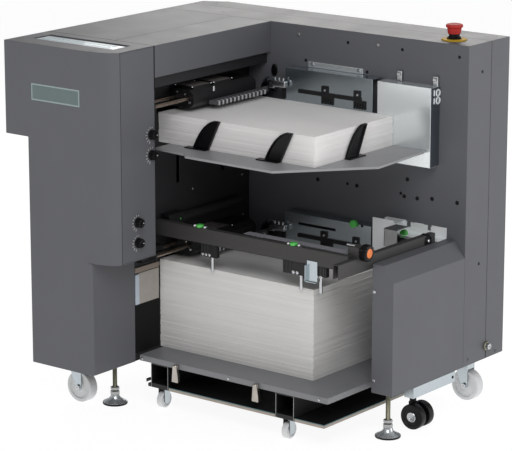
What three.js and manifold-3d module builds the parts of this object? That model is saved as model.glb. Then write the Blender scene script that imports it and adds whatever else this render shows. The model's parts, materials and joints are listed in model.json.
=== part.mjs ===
// Two-bin sheet feeder of a booklet maker line, in millimetres, +Z up.
// +X runs along the front face to the right, +Y into the depth, and z is 0 on the floor.
// The tower stands at the left, the back unit runs behind both bins, and the bins are open to the front.
import * as THREE from 'three';
import { mergeVertices } from 'three/addons/utils/BufferGeometryUtils.js';
import Module from 'manifold-3d';

const wasm = await Module();
wasm.setup();

// Sheet metal, fits and facets
const sheet = 2;
const gap = 0.3;
const overrun = 6;
const round_sides = 24;
const small_sides = 12;
const curve_steps = 8;

// Casing
const body_length = 827;
const body_depth = 758;
const body_bottom = 105;
const body_height = 764;
const overhang = 70;
const overhang_height = 220;
const tower_width = 188;
const head_width = 256;
const head_depth = 151;
const head_height = 494;
const front_curve_run = 84;
const front_curve_depth = 32;
const front_curve_shares = [0.88, 0.1];
const lower_corner = 8;
const back_depth = 171;
const rear_cover_depth = 76;
const rear_chamfer_x = 60;
const rear_chamfer_y = 31;
const top_seam_x = 138;
const top_flange = 16;
const beam_height = 75;
const beam_recess = 12;
const beam_recess_height = 27;
const base_thickness = 3;
const console_left = 38;
const console_front = 57;
const console_length = 247;
const console_depth = 61;
const console_sink = 3;
const exit_slot_height = 24;
const exit_slot_bottom = 455;
const lower_cover_length = 58;
const lower_cover_depth = 289;
const lower_cover_height = 303;
const lower_cover_bevel_x = 26;
const lower_cover_bevel_z = 38;
const vent_slots = 9;
const vent_columns = 2;
const vent_pitch = 16;
const vent_slot_height = 6;
const vent_slot_length = 80;
const vent_column_pitch = 300;
const vent_left = 230;
const vent_bottom = 560;

// Paper, an untrimmed 12 by 18 inch sheet
const paper_length = 457;
const paper_width = 305;
const pile_back_gap = 38;
const upper_pile = 70;
const lower_pile = 215;
const paper_slot_height = 19;
const paper_slot_drop = 5;
const paper_slot_margin = 4;

// Upper tray and its fins
const upper_room = 76;
const tray_rim = 6;
const tray_left_gap = 36;
const tray_length = 526;
const tray_depth = 385;
const tray_back_clearance = 3;
const tray_head_clearance = 5;
const tray_outline_shares = [
  [0, 0.075], [0.18, 0.05], [0.213, 0.003], [0.696, 0], [1, 0.48], [0.977, 1], [0, 1],
];
const tray_travel = 90;
const arm_width = 10;
const arm_height = 16;
const arm_reach = 210;
const arm_places = [66, 236];
const carriage_thickness = 6;
const fin_height = 72;
const fin_base = 44;
const fin_lean = 79;
const fin_tip = 17;
const fin_thickness = 3;
const fin_bulge_shares = [0.32, 0.84];
const fin_foot_length = 18;
const fin_foot_depth = 16;
const fin_foot_thickness = 3;
const fin_clearance = 1;
const fin_places = [110, 320];
const side_fin_place = 112;

// Feed heads over both piles
const head_clearance = 10;
const feed_head_width = 74;
const feed_head_length = 235;
const feed_head_height = 44;
const feed_head_start = 41;
const feed_head_chamfer = 12;
const feed_rod_radius = 4.5;
const feed_rod_insets = [17, 59];
const feed_rod_height = 24;
const feed_rod_bracket = 4;
const head_top_inset = 6;
const head_plate_width = 56;
const head_plate_length = 62;
const head_plate_height = 6;
const head_plate_places = [14, 92];
const slat_width = 10;
const slat_height = 2;
const slat_pitch = 14;
const slat_count = 4;
const slat_group_places = [22, 92];
const duct_radius = 12;
const duct_rise = 90;
const duct_insets = [18, 290];
const comb_start = 97;
const comb_length = 189;
const comb_bar = 6;
const comb_teeth = 13;
const comb_tooth_length = 20;
const comb_tooth_width_share = 0.55;
const comb_tip_share = 0.6;
const comb_height = 10;
const comb_drop = 3;
const clamp_radius = 8.5;
const clamp_length = 46;

// Guide plates on the back wall
const guide_left = 141;
const guide_length = 256;
const guide_rise = 79;
const guide_drop = 66;
const guide_slot_left = 40;
const guide_slot_length = 112;
const guide_slot_height = 6;
const guide_slot_rise = 52;
const rail_left = 182;
const rail_length = 183;
const rail_rise = 22;
const rail_height = 9;
const rail_thickness = 4;
const grille_insets = [69, 163];
const grille_width = 37;
const grille_height = 18;
const grille_tine_share = 0.5;
const grille_tines = 5;
const grille_bracket_height = 16;
const grille_bracket_width = 18;
const box_gap = 14;
const box_length = 150;
const box_drop = 111;
const box_rise = 77;
const shelf_length = 176;
const shelf_wall_rise = 98;
const shelf_upright_length = 56;
const shelf_notch_width = 22;
const shelf_notch_depth = 18;
const shelf_notch_places = [64, 112];

// Side guide frame over the lower pile
const frame_rise = 76;
const front_bar_height = 23;
const front_bar_depth = 16;
const right_bar_left = 752;
const right_bar_width = 16;
const right_bar_height = 34;
const right_bar_drop = 17;
const right_bar_reach = 74;
const frame_block_length = 30;
const frame_block_height = 24;
const frame_knob_radius = 20;
const frame_knob_length = 20;
const frame_knob_teeth = 16;
const thumb_radius = 9;
const thumb_height = 6;
const thumb_shaft_radius = 3;
const thumb_shaft_length = 8;
const thumb_places = [132, 406];
const stop_rod_radius = 3.5;
const stop_rod_drop = 2;
const stop_block_drop = 43;
const stop_left_place = 139;
const stop_left_length = 46;
const stop_left_rod = 28;
const stop_right_place = 379;
const stop_right_lengths = [62, 26, 35];
const stop_right_rods = [47, 102];
const stop_plate_drop = 50;

// Lift table and the cart under it
const table_top = 122;
const table_left_gap = 9;
const table_right = 750;
const table_reach = 86;
const table_fold = 14.5;
const latch_places = [115, 353];
const latch_width = 13;
const latch_length = 37;
const latch_thickness = 4;
const latch_pivot_radius = 4;
const latch_pivot_drop = 7;
const rail_box_width = 52;
const rail_places = [232, 603];
const rail_back_gap = 16;
const rail_wall = 2.5;
const rail_foot_length = 30;
const cart_plate_top = 57;
const cart_plate_lip = 8;
const cart_plate_left = 222;
const cart_plate_right = 740;
const cart_wheel_radius = 20;
const cart_wheel_width = 14;
const cart_axle_inset = 16;

// Casters and levelling feet
const axle_radius = 3;
const wheel_shoulder_share = 0.92;
const wheel_tread_share = 0.6;
const caster_web_share = 0.78;
const caster_radius = 37.5;
const caster_wheel_width = 25;
const caster_hub_radius = 14;
const caster_trail = 14;
const caster_disc_radius = 22;
const caster_disc_height = 6;
const fork_plate = 3;
const fork_boss_radius = 9;
const front_caster = [73, 92];
const end_caster_inset = [39, 90];
const rear_caster_inset = [73, 90];
const twin_caster_inset = [13, 122];
const twin_radius = 30;
const twin_wheel_width = 18;
const twin_body_width = 14;
const twin_body_radius = 16;
const twin_trail = 13;
const twin_stem_radius = 6;
const twin_bracket_width = 26;
const twin_bracket_length = 170;
const twin_bracket_front = 35;
const twin_bracket_height = 26;
const twin_bracket_boss = 12;
const foot_pad_radius = 30;
const foot_pad_edge = 5;
const foot_cone_height = 22;
const foot_collar_radius = 10;
const foot_collar_height = 20;
const foot_rod_radius = 4.5;
const foot_rod_top = 124;
const left_foot_inset = [42, 25];
const right_foot_inset = [31, 24];

// Knobs, stop button and power inlet
const knob_place_shares = [[0.9, 0.585], [0.9, 0.488], [0.47, 0.184], [0.47, 0.087]];
const knob_radius = 12;
const knob_length = 14;
const knob_shaft_radius = 3;
const knob_shaft_length = 9;
const knob_flutes = 12;
const knob_flute_radius = 1.6;
const stop_inset = [76, 52];
const stop_ring_radius = 30;
const stop_ring_height = 3;
const stop_collar_radius = 17;
const stop_collar_height = 12;
const stop_stem_radius = 8;
const stop_stem_length = 14;
const stop_travel = 4;
const stop_neck_radius = 13;
const stop_head_radius = 20;
const stop_skirt_height = 5;
const stop_head_height = 18;
const inlet_width = 48;
const inlet_height = 28;
const inlet_depth = 22;
const inlet_flange = 5;
const inlet_cavity = 16;
const inlet_place = [110, 150];

// Levels and lines that follow from the sizes
const body_top = body_bottom + body_height;
const wall_front = body_depth - back_depth;
const rear_seam = body_depth - rear_cover_depth;
const overhang_bottom = body_top - overhang_height;
const head_bottom = body_top - head_height;
const beam_bottom = body_top - beam_height;
const recess_bottom = beam_bottom - beam_recess_height;
const feed_front = head_depth + gap;
const feed_back = wall_front - gap;
const stack_left = tower_width + gap;
const stack_right = stack_left + paper_length;
const stack_back = wall_front - pile_back_gap;
const stack_front = stack_back - paper_width;
const guide_front = stack_back + gap;
const right_bar_front = stack_front - right_bar_reach;
const table_front = stack_front - table_reach;
const upper_stack_top = recess_bottom - upper_room;
const tray_top = upper_stack_top - upper_pile;
const lower_stack_top = table_top + lower_pile;
const bar_bottom = lower_stack_top + frame_rise;
const base_top = body_bottom + base_thickness;
const tray_left = tower_width + tray_left_gap;
const tray_back = stack_back - tray_back_clearance;
const tray_front = tray_back - tray_depth;
const table_bottom = table_top - table_fold;
const rail_bottom = cart_plate_top - cart_plate_lip;
const right_cover_left = body_length - lower_cover_length;
const right_cover_front = wall_front - lower_cover_depth;
const end_caster = [body_length - end_caster_inset[0], body_depth - end_caster_inset[1]];
const rear_caster = [rear_caster_inset[0], body_depth - rear_caster_inset[1]];
const twin_caster = [body_length - twin_caster_inset[0], right_cover_front + twin_caster_inset[1]];
const left_foot = [tower_width - left_foot_inset[0], head_depth - left_foot_inset[1]];
const right_foot = [right_cover_left + right_foot_inset[0], right_cover_front + right_foot_inset[1]];
const stop_centre = [body_length - stop_inset[0], wall_front + stop_inset[1]];

// Finishes
const finish = (color, roughness, metalness) => () =>
  new THREE.MeshStandardMaterial({ color, roughness, metalness, flatShading: true });
const grey_paint = finish(0x606166, 0.55, 0.1);
const dark_paint = finish(0x232426, 0.6, 0.1);
const tray_paint = finish(0x85868a, 0.5, 0.2);
const black_steel = finish(0x17181a, 0.5, 0.4);
const black_plastic = finish(0x101112, 0.45, 0);
const galvanised = finish(0xa9b4b8, 0.35, 0.8);
const bright_steel = finish(0xc9cbcc, 0.25, 0.9);
const comb_plastic = finish(0xc8cacc, 0.5, 0);
const white_nylon = finish(0xd9dadb, 0.5, 0);
const black_rubber = finish(0x111112, 0.8, 0);
const paper_white = finish(0xe6e4e1, 0.9, 0);
const green_plastic = finish(0x3d9a45, 0.5, 0);
const red_plastic = finish(0xb3241f, 0.4, 0);
const yellow_plastic = finish(0xe0b92b, 0.5, 0);

// Solids and how they are joined and cut
function signedVolume(position, index) {
  const a = new THREE.Vector3();
  const b = new THREE.Vector3();
  const c = new THREE.Vector3();
  let volume = 0;
  for (let i = 0; i < index.length; i += 3) {
    a.fromArray(position, 3 * index[i]);
    b.fromArray(position, 3 * index[i + 1]);
    c.fromArray(position, 3 * index[i + 2]);
    volume += a.dot(b.cross(c));
  }
  return volume;
}

function solidOf(geometry) {
  const bare = new THREE.BufferGeometry();
  bare.setAttribute('position', geometry.getAttribute('position'));
  bare.setIndex(geometry.index);
  const merged = mergeVertices(bare);
  const position = new Float32Array(merged.attributes.position.array);
  const source = merged.index.array;
  const outward = signedVolume(position, source) > 0;
  const triangles = [];
  for (let i = 0; i < source.length; i += 3) {
    const [a, b, c] = [source[i], source[i + 1], source[i + 2]];
    if (a === b || b === c || a === c) continue;
    triangles.push(...(outward ? [a, b, c] : [a, c, b]));
  }
  const mesh = new wasm.Mesh({ numProp: 3, vertProperties: position, triVerts: new Uint32Array(triangles) });
  return new wasm.Manifold(mesh);
}

function block([x0, x1], [y0, y1], [z0, z1]) {
  const geometry = new THREE.BoxGeometry(x1 - x0, y1 - y0, z1 - z0);
  geometry.translate((x0 + x1) / 2, (y0 + y1) / 2, (z0 + z1) / 2);
  return solidOf(geometry);
}

// A closed outline: a step of two values is a straight line, one of four a curve with its control point.
function outline(steps) {
  const shape = new THREE.Shape();
  shape.moveTo(steps[0][0], steps[0][1]);
  for (const step of steps.slice(1)) {
    if (step.length === 4) shape.quadraticCurveTo(...step);
    else shape.lineTo(...step);
  }
  return shape;
}

function extruded(shape, depth) {
  return new THREE.ExtrudeGeometry(shape, { depth, bevelEnabled: false, curveSegments: curve_steps });
}

const axis_x = new THREE.Vector3(1, 0, 0);
const axis_y = new THREE.Vector3(0, 1, 0);
const axis_z = new THREE.Vector3(0, 0, 1);

function prismZ(shape, [z0, z1]) {
  return solidOf(extruded(shape, z1 - z0).translate(0, 0, z0));
}

function prismX(shape, [x0, x1]) {
  const turn = new THREE.Matrix4().makeBasis(axis_y, axis_z, axis_x);
  return solidOf(extruded(shape, x1 - x0).applyMatrix4(turn).translate(x0, 0, 0));
}

function prismY(shape, [y0, y1]) {
  const turn = new THREE.Matrix4().makeBasis(axis_x, axis_z, axis_y.clone().negate());
  return solidOf(extruded(shape, y1 - y0).applyMatrix4(turn).translate(0, y1, 0));
}

function rod(radius, length, sides) {
  return new THREE.CylinderGeometry(radius, radius, length, sides);
}

function rodX([x0, x1], y, z, radius, sides = small_sides) {
  const geometry = rod(radius, x1 - x0, sides).rotateZ(Math.PI / 2);
  return solidOf(geometry.translate((x0 + x1) / 2, y, z));
}

function rodY([y0, y1], x, z, radius, sides = small_sides) {
  return solidOf(rod(radius, y1 - y0, sides).translate(x, (y0 + y1) / 2, z));
}

function rodZ([z0, z1], x, y, radius, sides = small_sides) {
  const geometry = rod(radius, z1 - z0, sides).rotateX(Math.PI / 2);
  return solidOf(geometry.translate(x, y, (z0 + z1) / 2));
}

// A turned piece about the Z axis from its half profile of radius and height.
function turned(profile, sides = round_sides) {
  const points = profile.map(([radius, height]) => new THREE.Vector2(radius, height));
  return solidOf(new THREE.LatheGeometry(points, sides).rotateX(Math.PI / 2));
}

const machine = new THREE.Group();

function place(name, solid, material, position = [0, 0, 0]) {
  const result = solid.getMesh();
  const geometry = new THREE.BufferGeometry();
  geometry.setAttribute('position', new THREE.BufferAttribute(result.vertProperties, 3));
  geometry.setIndex(new THREE.BufferAttribute(result.triVerts, 1));
  const mesh = new THREE.Mesh(geometry, material());
  mesh.name = name;
  mesh.position.set(...position);
  machine.add(mesh);
}

// Tower: front cover with the bulged head, its knob panel, side cover and top panel
function headPlan(left, inset, back) {
  const right = head_width - inset;
  const front = inset;
  const curve_start = head_width - front_curve_run;
  const control_x = curve_start + front_curve_run * front_curve_shares[0];
  const control_y = front + front_curve_depth * front_curve_shares[1];
  return outline([
    [left + inset, front], [curve_start, front],
    [control_x, control_y, right, front_curve_depth],
    [right, back], [left + inset, back],
  ]);
}

function lowerPlan(inset, back) {
  const right = tower_width + sheet - inset;
  return outline([
    [inset, inset], [right - lower_corner, inset],
    [right, inset, right, inset + lower_corner],
    [right, back], [inset, back],
  ]);
}

function towerFrontCover() {
  const back = head_depth + overrun;
  const outer = prismZ(lowerPlan(0, head_depth), [body_bottom, head_bottom])
    .add(prismZ(headPlan(0, 0, head_depth), [head_bottom, overhang_bottom]))
    .add(prismZ(headPlan(-overhang, 0, head_depth), [overhang_bottom, body_top]));
  const inner = prismZ(lowerPlan(sheet, back), [body_bottom - overrun, head_bottom + 2 * sheet])
    .add(prismZ(headPlan(0, sheet, back), [head_bottom + sheet, overhang_bottom + 2 * sheet]))
    .add(prismZ(headPlan(-overhang, sheet, back), [overhang_bottom + sheet, body_top - sheet]));
  const panel_opening = block(
    [head_width - sheet - overrun, head_width + overrun],
    [front_curve_depth, back],
    [head_bottom + sheet, body_top - sheet],
  );
  const console_x = [-overhang + console_left, -overhang + console_left + console_length];
  const console_y = [console_front, console_front + console_depth];
  const console_floor = body_top - console_sink;
  const widen = (range) => [range[0] - sheet, range[1] + sheet];
  const console_pan = block(widen(console_x), widen(console_y), [console_floor - sheet, body_top]);
  const console_recess = block(console_x, console_y, [console_floor, body_top + overrun]);
  return outer.subtract(inner).subtract(panel_opening).add(console_pan).subtract(console_recess);
}
place('tower_front_cover', towerFrontCover(), grey_paint);

const panel_bottom = head_bottom + sheet + gap;
const panel_top = body_top - sheet - gap;
const knob_places = knob_place_shares.map(([across, up]) => [
  front_curve_depth + across * (head_depth - front_curve_depth),
  head_bottom + up * head_height,
]);

function knobPanel() {
  const face_y = [front_curve_depth + gap, head_depth];
  const return_z = [panel_bottom, recess_bottom - gap];
  let panel = block([head_width - sheet, head_width], face_y, [panel_bottom, panel_top])
    .add(block([tower_width + gap, head_width], [head_depth - sheet, head_depth], return_z));
  for (const [y, z] of knob_places) {
    panel = panel.subtract(rodX([head_width - overrun, head_width + overrun], y, z, knob_shaft_radius + gap));
  }
  return panel;
}
place('knob_panel', knobPanel(), grey_paint);

function leftSideCover() {
  const top = body_top - sheet - gap;
  const profile = outline([
    [0, body_bottom], [0, overhang_bottom], [-overhang, overhang_bottom], [-overhang, top],
    [sheet - overhang, top], [sheet - overhang, overhang_bottom + sheet],
    [sheet, overhang_bottom + sheet], [sheet, body_bottom],
  ]);
  const exit_slot = block(
    [-overrun, overrun],
    [stack_front - paper_slot_margin, stack_back + paper_slot_margin],
    [exit_slot_bottom, exit_slot_bottom + exit_slot_height],
  );
  return prismY(profile, [feed_front, rear_seam - gap]).subtract(exit_slot);
}
place('left_side_cover', leftSideCover(), grey_paint);

const top_panel_right = top_seam_x - gap;
const top_panel_y = [feed_front, feed_back];
const top_panel = block([-overhang, top_panel_right], top_panel_y, [body_top - sheet, body_top])
  .add(block([top_panel_right - sheet, top_panel_right], top_panel_y, [body_top - top_flange, body_top]));
place('tower_top_panel', top_panel, grey_paint);

// Beam: folded channel over the bins, with the dark recessed strip along its lower edge
function beamCover() {
  const face = head_width;
  const recess = head_width - beam_recess;
  const inside = tower_width - sheet;
  const profile = outline([
    [top_seam_x, body_top], [face, body_top], [face, beam_bottom], [recess, beam_bottom],
    [recess, recess_bottom], [inside, recess_bottom], [inside, recess_bottom + sheet],
    [recess - sheet, recess_bottom + sheet], [recess - sheet, beam_bottom + sheet],
    [face - sheet, beam_bottom + sheet], [face - sheet, body_top - sheet], [top_seam_x, body_top - sheet],
  ]);
  return prismY(profile, [feed_front, feed_back]);
}
place('beam_cover', beamCover(), grey_paint);

// Base plate under tower and back unit, with the bore of the left foot
const base_right = body_length - sheet - gap;
const base_back = body_depth - sheet - gap;
const base_plate = prismZ(lowerPlan(sheet + gap, base_back), [body_bottom, base_top])
  .add(block(
    [tower_width - gap - overrun, base_right],
    [wall_front + sheet + gap, base_back],
    [body_bottom, base_top],
  ))
  .subtract(rodZ([body_bottom - overrun, base_top + overrun], ...left_foot, foot_rod_radius + gap));
place('base_frame', base_plate, black_steel);

// Feed wall: two windows for the paper, two upright slots for the tray's arms
// and a round duct over the lower head
const arm_fronts = arm_places.map((inset) => stack_front + inset);
const arm_bottom = tray_top - sheet - arm_height;
const arm_top = tray_top - sheet;

function feedWall() {
  const thick = [tower_width - sheet, tower_width];
  const through = [tower_width - sheet - overrun, tower_width + overrun];
  const across = [stack_front - paper_slot_margin, stack_back + paper_slot_margin];
  let wall = block(thick, [feed_front, feed_back], [base_top + gap, recess_bottom - gap]);
  for (const stack_top of [upper_stack_top, lower_stack_top]) {
    const bottom = stack_top - paper_slot_drop;
    wall = wall.subtract(block(through, across, [bottom, bottom + paper_slot_height]));
  }
  for (const front of arm_fronts) {
    const sides = [front - gap, front + arm_width + gap];
    wall = wall.subtract(block(through, sides, [arm_bottom - tray_travel - sheet, arm_top + sheet]));
  }
  const duct_y = duct_insets.map((inset) => stack_front + inset);
  return wall.add(rodY(duct_y, tower_width + duct_radius - sheet, lower_stack_top + duct_rise, duct_radius));
}
place('feed_wall', feedWall(), dark_paint);

// Back unit: wall, top and end as one folded shell, with a wing that closes the tower's top
function backWallPanel() {
  const y = [wall_front, rear_seam - gap];
  const outer = block([tower_width + gap, body_length], y, [body_bottom, body_top]);
  const inner = block(
    [tower_width - overrun, body_length - sheet],
    [wall_front + sheet, rear_seam + overrun],
    [body_bottom - overrun, body_top - sheet],
  );
  const wing = block([-overhang, tower_width + overrun], y, [body_top - sheet, body_top]);
  return outer.subtract(inner).add(wing);
}
place('back_wall_panel', backWallPanel(), grey_paint);

function rearProfile(inset, bottom) {
  const top = body_top - inset;
  const right = body_length - inset;
  return outline([
    [inset, bottom], [inset, overhang_bottom + inset],
    [inset - overhang, overhang_bottom + inset], [inset - overhang, top],
    [right, top], [right, bottom],
  ]);
}

function rearCorner(inset) {
  const x = inset - overhang;
  const y = body_depth - inset;
  return prismZ(outline([
    [x - rear_chamfer_x, y - 2 * rear_chamfer_y], [x + 2 * rear_chamfer_x, y + rear_chamfer_y],
    [x - rear_chamfer_x, y + rear_chamfer_y],
  ]), [overhang_bottom - overrun, body_top + overrun]);
}

const inlet_z = body_bottom + inlet_place[1];
const inlet_x = [inlet_place[0], inlet_place[0] + inlet_width];

function rearCover() {
  const outer = prismY(rearProfile(0, body_bottom), [rear_seam, body_depth]);
  const inner = prismY(rearProfile(sheet, body_bottom - overrun), [rear_seam - overrun, body_depth - sheet]);
  let cover = outer.subtract(rearCorner(0)).subtract(inner.subtract(rearCorner(sheet)));
  for (let column = 0; column < vent_columns; column++) {
    const left = vent_left + column * vent_column_pitch;
    for (let row = 0; row < vent_slots; row++) {
      const bottom = vent_bottom + row * vent_pitch;
      cover = cover.subtract(block(
        [left, left + vent_slot_length],
        [body_depth - sheet - overrun, body_depth + overrun],
        [bottom, bottom + vent_slot_height],
      ));
    }
  }
  return cover.subtract(block(
    [inlet_x[0] - gap, inlet_x[1] + gap],
    [body_depth - sheet - overrun, body_depth + overrun],
    [inlet_z - gap, inlet_z + inlet_height + gap],
  ));
}
place('rear_cover', rearCover(), grey_paint);

function powerInlet() {
  const back = body_depth;
  const inner_face = body_depth - sheet - gap;
  const shell = block(inlet_x, [back - inlet_depth, back], [inlet_z, inlet_z + inlet_height]);
  const flange = block(
    [inlet_x[0] - inlet_flange, inlet_x[1] + inlet_flange],
    [inner_face - sheet, inner_face],
    [inlet_z - inlet_flange, inlet_z + inlet_height + inlet_flange],
  );
  const socket = block(
    [inlet_x[0] + inlet_flange, inlet_x[1] - inlet_flange],
    [back - inlet_cavity, back + overrun],
    [inlet_z + inlet_flange, inlet_z + inlet_height - inlet_flange],
  );
  return shell.add(flange).subtract(socket);
}
place('power_inlet', powerInlet(), black_plastic);

// Lower right cover: a box open to the wall behind it, with a bevelled shoulder and the right foot's bore
function rightLowerCover() {
  const profile = (inset) => {
    const left = right_cover_left + inset;
    const right = body_length - inset;
    const top = body_bottom + lower_cover_height - inset;
    return outline([
      [left, body_bottom + inset], [left, top], [right - lower_cover_bevel_x, top],
      [right, top - lower_cover_bevel_z], [right, body_bottom + inset],
    ]);
  };
  const outer = prismY(profile(0), [right_cover_front, feed_back]);
  const inner = prismY(profile(sheet), [right_cover_front + sheet, feed_back + overrun]);
  const bore_z = [body_bottom - overrun, body_bottom + sheet + overrun];
  return outer.subtract(inner).subtract(rodZ(bore_z, ...right_foot, foot_rod_radius + gap));
}
place('right_lower_cover', rightLowerCover(), grey_paint);

// Paper piles
const pile_x = [stack_left, stack_right];
const pile_y = [stack_front, stack_back];
place('upper_stack', block(pile_x, pile_y, [tray_top, upper_stack_top]), paper_white);
place('lower_stack', block(pile_x, pile_y, [table_top, lower_stack_top]), paper_white);

// Upper tray: a folded pan whose two arms pass through the feed wall to a carriage inside the tower
function trayPlan(inset) {
  const scale_x = (share) => tray_left + inset + share * (tray_length - 2 * inset);
  const scale_y = (share) => tray_front + inset + share * (tray_depth - 2 * inset);
  return outline(tray_outline_shares.map(([across, back]) => [scale_x(across), scale_y(back)]));
}

// The room of the tower's head and its knobs, which the tray leaves free
function headRoom(margin) {
  const reach = tray_head_clearance + margin;
  return block(
    [tower_width, head_width + knob_length + reach],
    [-overrun, head_depth + reach],
    [tray_top - tray_rim - overrun, tray_top + overrun],
  );
}

function upperTray() {
  const rim_bottom = tray_top - tray_rim;
  const hollow = prismZ(trayPlan(sheet), [rim_bottom - overrun, tray_top - sheet]);
  let tray = prismZ(trayPlan(0), [rim_bottom, tray_top])
    .subtract(headRoom(0))
    .subtract(hollow.subtract(headRoom(sheet)));
  const carriage_right = tower_width - sheet - gap;
  const carriage_left = carriage_right - carriage_thickness;
  for (const front of arm_fronts) {
    const sides = [front, front + arm_width];
    tray = tray.add(block([carriage_left, tray_left + arm_reach], sides, [arm_bottom, arm_top]));
  }
  const carriage_y = [arm_fronts[0], arm_fronts[arm_fronts.length - 1] + arm_width];
  return tray.add(block([carriage_left, carriage_right], carriage_y, [arm_bottom, arm_top]));
}
place('upper_tray', upperTray(), tray_paint);

// A fin leans along its own plane and stands on a small foot plate.
function finOutline() {
  const control_x = fin_lean * fin_bulge_shares[0];
  const control_z = fin_height * fin_bulge_shares[1];
  return outline([
    [0, 0], [control_x, control_z, fin_lean - fin_tip, fin_height],
    [fin_lean, fin_height], [fin_base, 0],
  ]);
}
const fin_foot_run = [-fin_foot_length, fin_base];
const fin_foot_rise = [0, fin_foot_thickness];
const front_fin = prismY(finOutline(), [-fin_thickness, 0])
  .add(block(fin_foot_run, [-fin_foot_depth, 0], fin_foot_rise));
const side_fin = prismX(finOutline(), [0, fin_thickness])
  .add(block([0, fin_foot_depth], [0, fin_base + fin_foot_length], fin_foot_rise));
const fin_line = stack_front - fin_clearance;
place('side_fin_1', front_fin, black_plastic, [stack_left + fin_places[0], fin_line, tray_top]);
place('side_fin_2', front_fin, black_plastic, [stack_left + fin_places[1], fin_line, tray_top]);
place('side_fin_3', side_fin, black_plastic, [
  stack_right + fin_clearance, stack_front + side_fin_place, tray_top,
]);

// Feed head: a housing on the feed wall that slides on two rods
const feed_head_front = stack_front + feed_head_start;
const head_top_left = tower_width + gap + head_top_inset;

function feedHead(stack_top) {
  const bottom = stack_top + head_clearance;
  const top = bottom + feed_head_height;
  const left = tower_width + gap;
  const right = left + feed_head_width;
  const front = feed_head_front;
  const shoulder = right - feed_head_chamfer;
  const rod_z = bottom + feed_rod_height;
  const profile = outline([
    [left, bottom], [left, top], [shoulder, top],
    [right, top - feed_head_chamfer], [right, bottom + feed_head_chamfer], [shoulder, bottom],
  ]);
  let head = prismY(profile, [front, front + feed_head_length]);
  for (const inset of feed_rod_insets) {
    head = head.add(rodY([feed_front, front + overrun], left + inset, rod_z, feed_rod_radius));
  }
  return head.add(block(
    [left, left + feed_rod_insets[1] + 2 * feed_rod_radius],
    [feed_front, feed_front + feed_rod_bracket],
    [rod_z - 2 * feed_rod_radius, rod_z + 2 * feed_rod_radius],
  ));
}

// A strip across a head's top, sunk into it by its own height
function headStrip(stack_top, front, length, height) {
  const top = stack_top + head_clearance + feed_head_height;
  const across = [head_top_left, head_top_left + head_plate_width];
  return block(across, [front, front + length], [top - height, top + height]);
}

function upperFeedHead() {
  let head = feedHead(upper_stack_top);
  for (const start of head_plate_places) {
    const front = feed_head_front + start;
    head = head.add(headStrip(upper_stack_top, front, head_plate_length, head_plate_height));
  }
  return head;
}

function lowerFeedHead() {
  let head = feedHead(lower_stack_top);
  for (const start of slat_group_places) {
    for (let slat = 0; slat < slat_count; slat++) {
      const front = feed_head_front + start + slat * slat_pitch;
      head = head.add(headStrip(lower_stack_top, front, slat_width, slat_height));
    }
  }
  return head;
}

// Toothed comb beside the feed head: tapered teeth on a bar that ends in a round clamp at the back wall
function toothComb(stack_top) {
  const left = tower_width + 2 * gap + feed_head_width;
  const front = stack_front + comb_start;
  const bottom = stack_top + head_clearance + comb_drop;
  const pitch = comb_length / comb_teeth;
  const tooth = pitch * comb_tooth_width_share;
  const tip = tooth * comb_tip_share;
  const root = left + comb_bar;
  const bar_back = feed_back - clamp_length + overrun;
  const steps = [[left, front], [root, front]];
  for (let i = 0; i < comb_teeth; i++) {
    const middle = front + (i + 0.5) * pitch;
    steps.push([root, middle - tooth / 2], [root + comb_tooth_length, middle - tip / 2]);
    steps.push([root + comb_tooth_length, middle + tip / 2], [root, middle + tooth / 2]);
  }
  steps.push([root, bar_back], [left, bar_back]);
  const clamp_x = left + clamp_radius;
  return prismZ(outline(steps), [bottom, bottom + comb_height])
    .add(rodY([feed_back - clamp_length, feed_back], clamp_x, bottom + comb_height / 2, clamp_radius));
}
place('upper_feed_head', upperFeedHead(), black_steel);
place('lower_feed_head', lowerFeedHead(), black_steel);
place('upper_tooth_comb', toothComb(upper_stack_top), comb_plastic);
place('lower_tooth_comb', toothComb(lower_stack_top), comb_plastic);

// Guide plate: slotted sheet behind the pile whose top is folded back to the wall
function guidePlate(stack_top) {
  const left = tower_width + guide_left;
  const right = left + guide_length;
  const top = stack_top + guide_rise;
  const slot_left = left + guide_slot_left;
  const slot_bottom = stack_top + guide_slot_rise;
  return block([left, right], [guide_front, guide_front + sheet], [stack_top - guide_drop, top])
    .add(block([left, right], [guide_front, feed_back], [top - sheet, top]))
    .subtract(block(
      [slot_left, slot_left + guide_slot_length],
      [guide_front - overrun, guide_front + sheet + overrun],
      [slot_bottom, slot_bottom + guide_slot_height],
    ));
}

// Comb rail: a bar on the guide plate with two grilles of tines that hang over the pile's back edge
function combRail(stack_top) {
  const left = tower_width + rail_left;
  const bottom = stack_top + rail_rise;
  const top = bottom + rail_height;
  const behind = [guide_front - gap - rail_thickness, guide_front - gap];
  let rail = block([left, left + rail_length], behind, [bottom, top]);
  for (const inset of grille_insets) {
    const start = left + inset;
    const pitch = grille_width / grille_tines;
    const tine = pitch * grille_tine_share;
    const steps = [[start, bottom + sheet], [start, bottom - grille_height]];
    for (let i = 0; i < grille_tines; i++) {
      const tine_right = start + i * pitch + tine;
      steps.push([tine_right, bottom - grille_height]);
      if (i === grille_tines - 1) continue;
      steps.push([tine_right, bottom - tine], [start + (i + 1) * pitch, bottom - tine]);
      steps.push([start + (i + 1) * pitch, bottom - grille_height]);
    }
    steps.push([start + grille_width - pitch + tine, bottom + sheet]);
    const bracket = block(
      [start, start + grille_bracket_width], behind, [top - sheet, top + grille_bracket_height],
    );
    rail = rail.add(prismY(outline(steps), behind)).add(bracket);
  }
  return rail;
}
place('upper_guide_plate', guidePlate(upper_stack_top), galvanised);
place('lower_guide_plate', guidePlate(lower_stack_top), galvanised);
place('upper_comb_rail', combRail(upper_stack_top), black_steel);
place('lower_comb_rail', combRail(lower_stack_top), black_steel);

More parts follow.
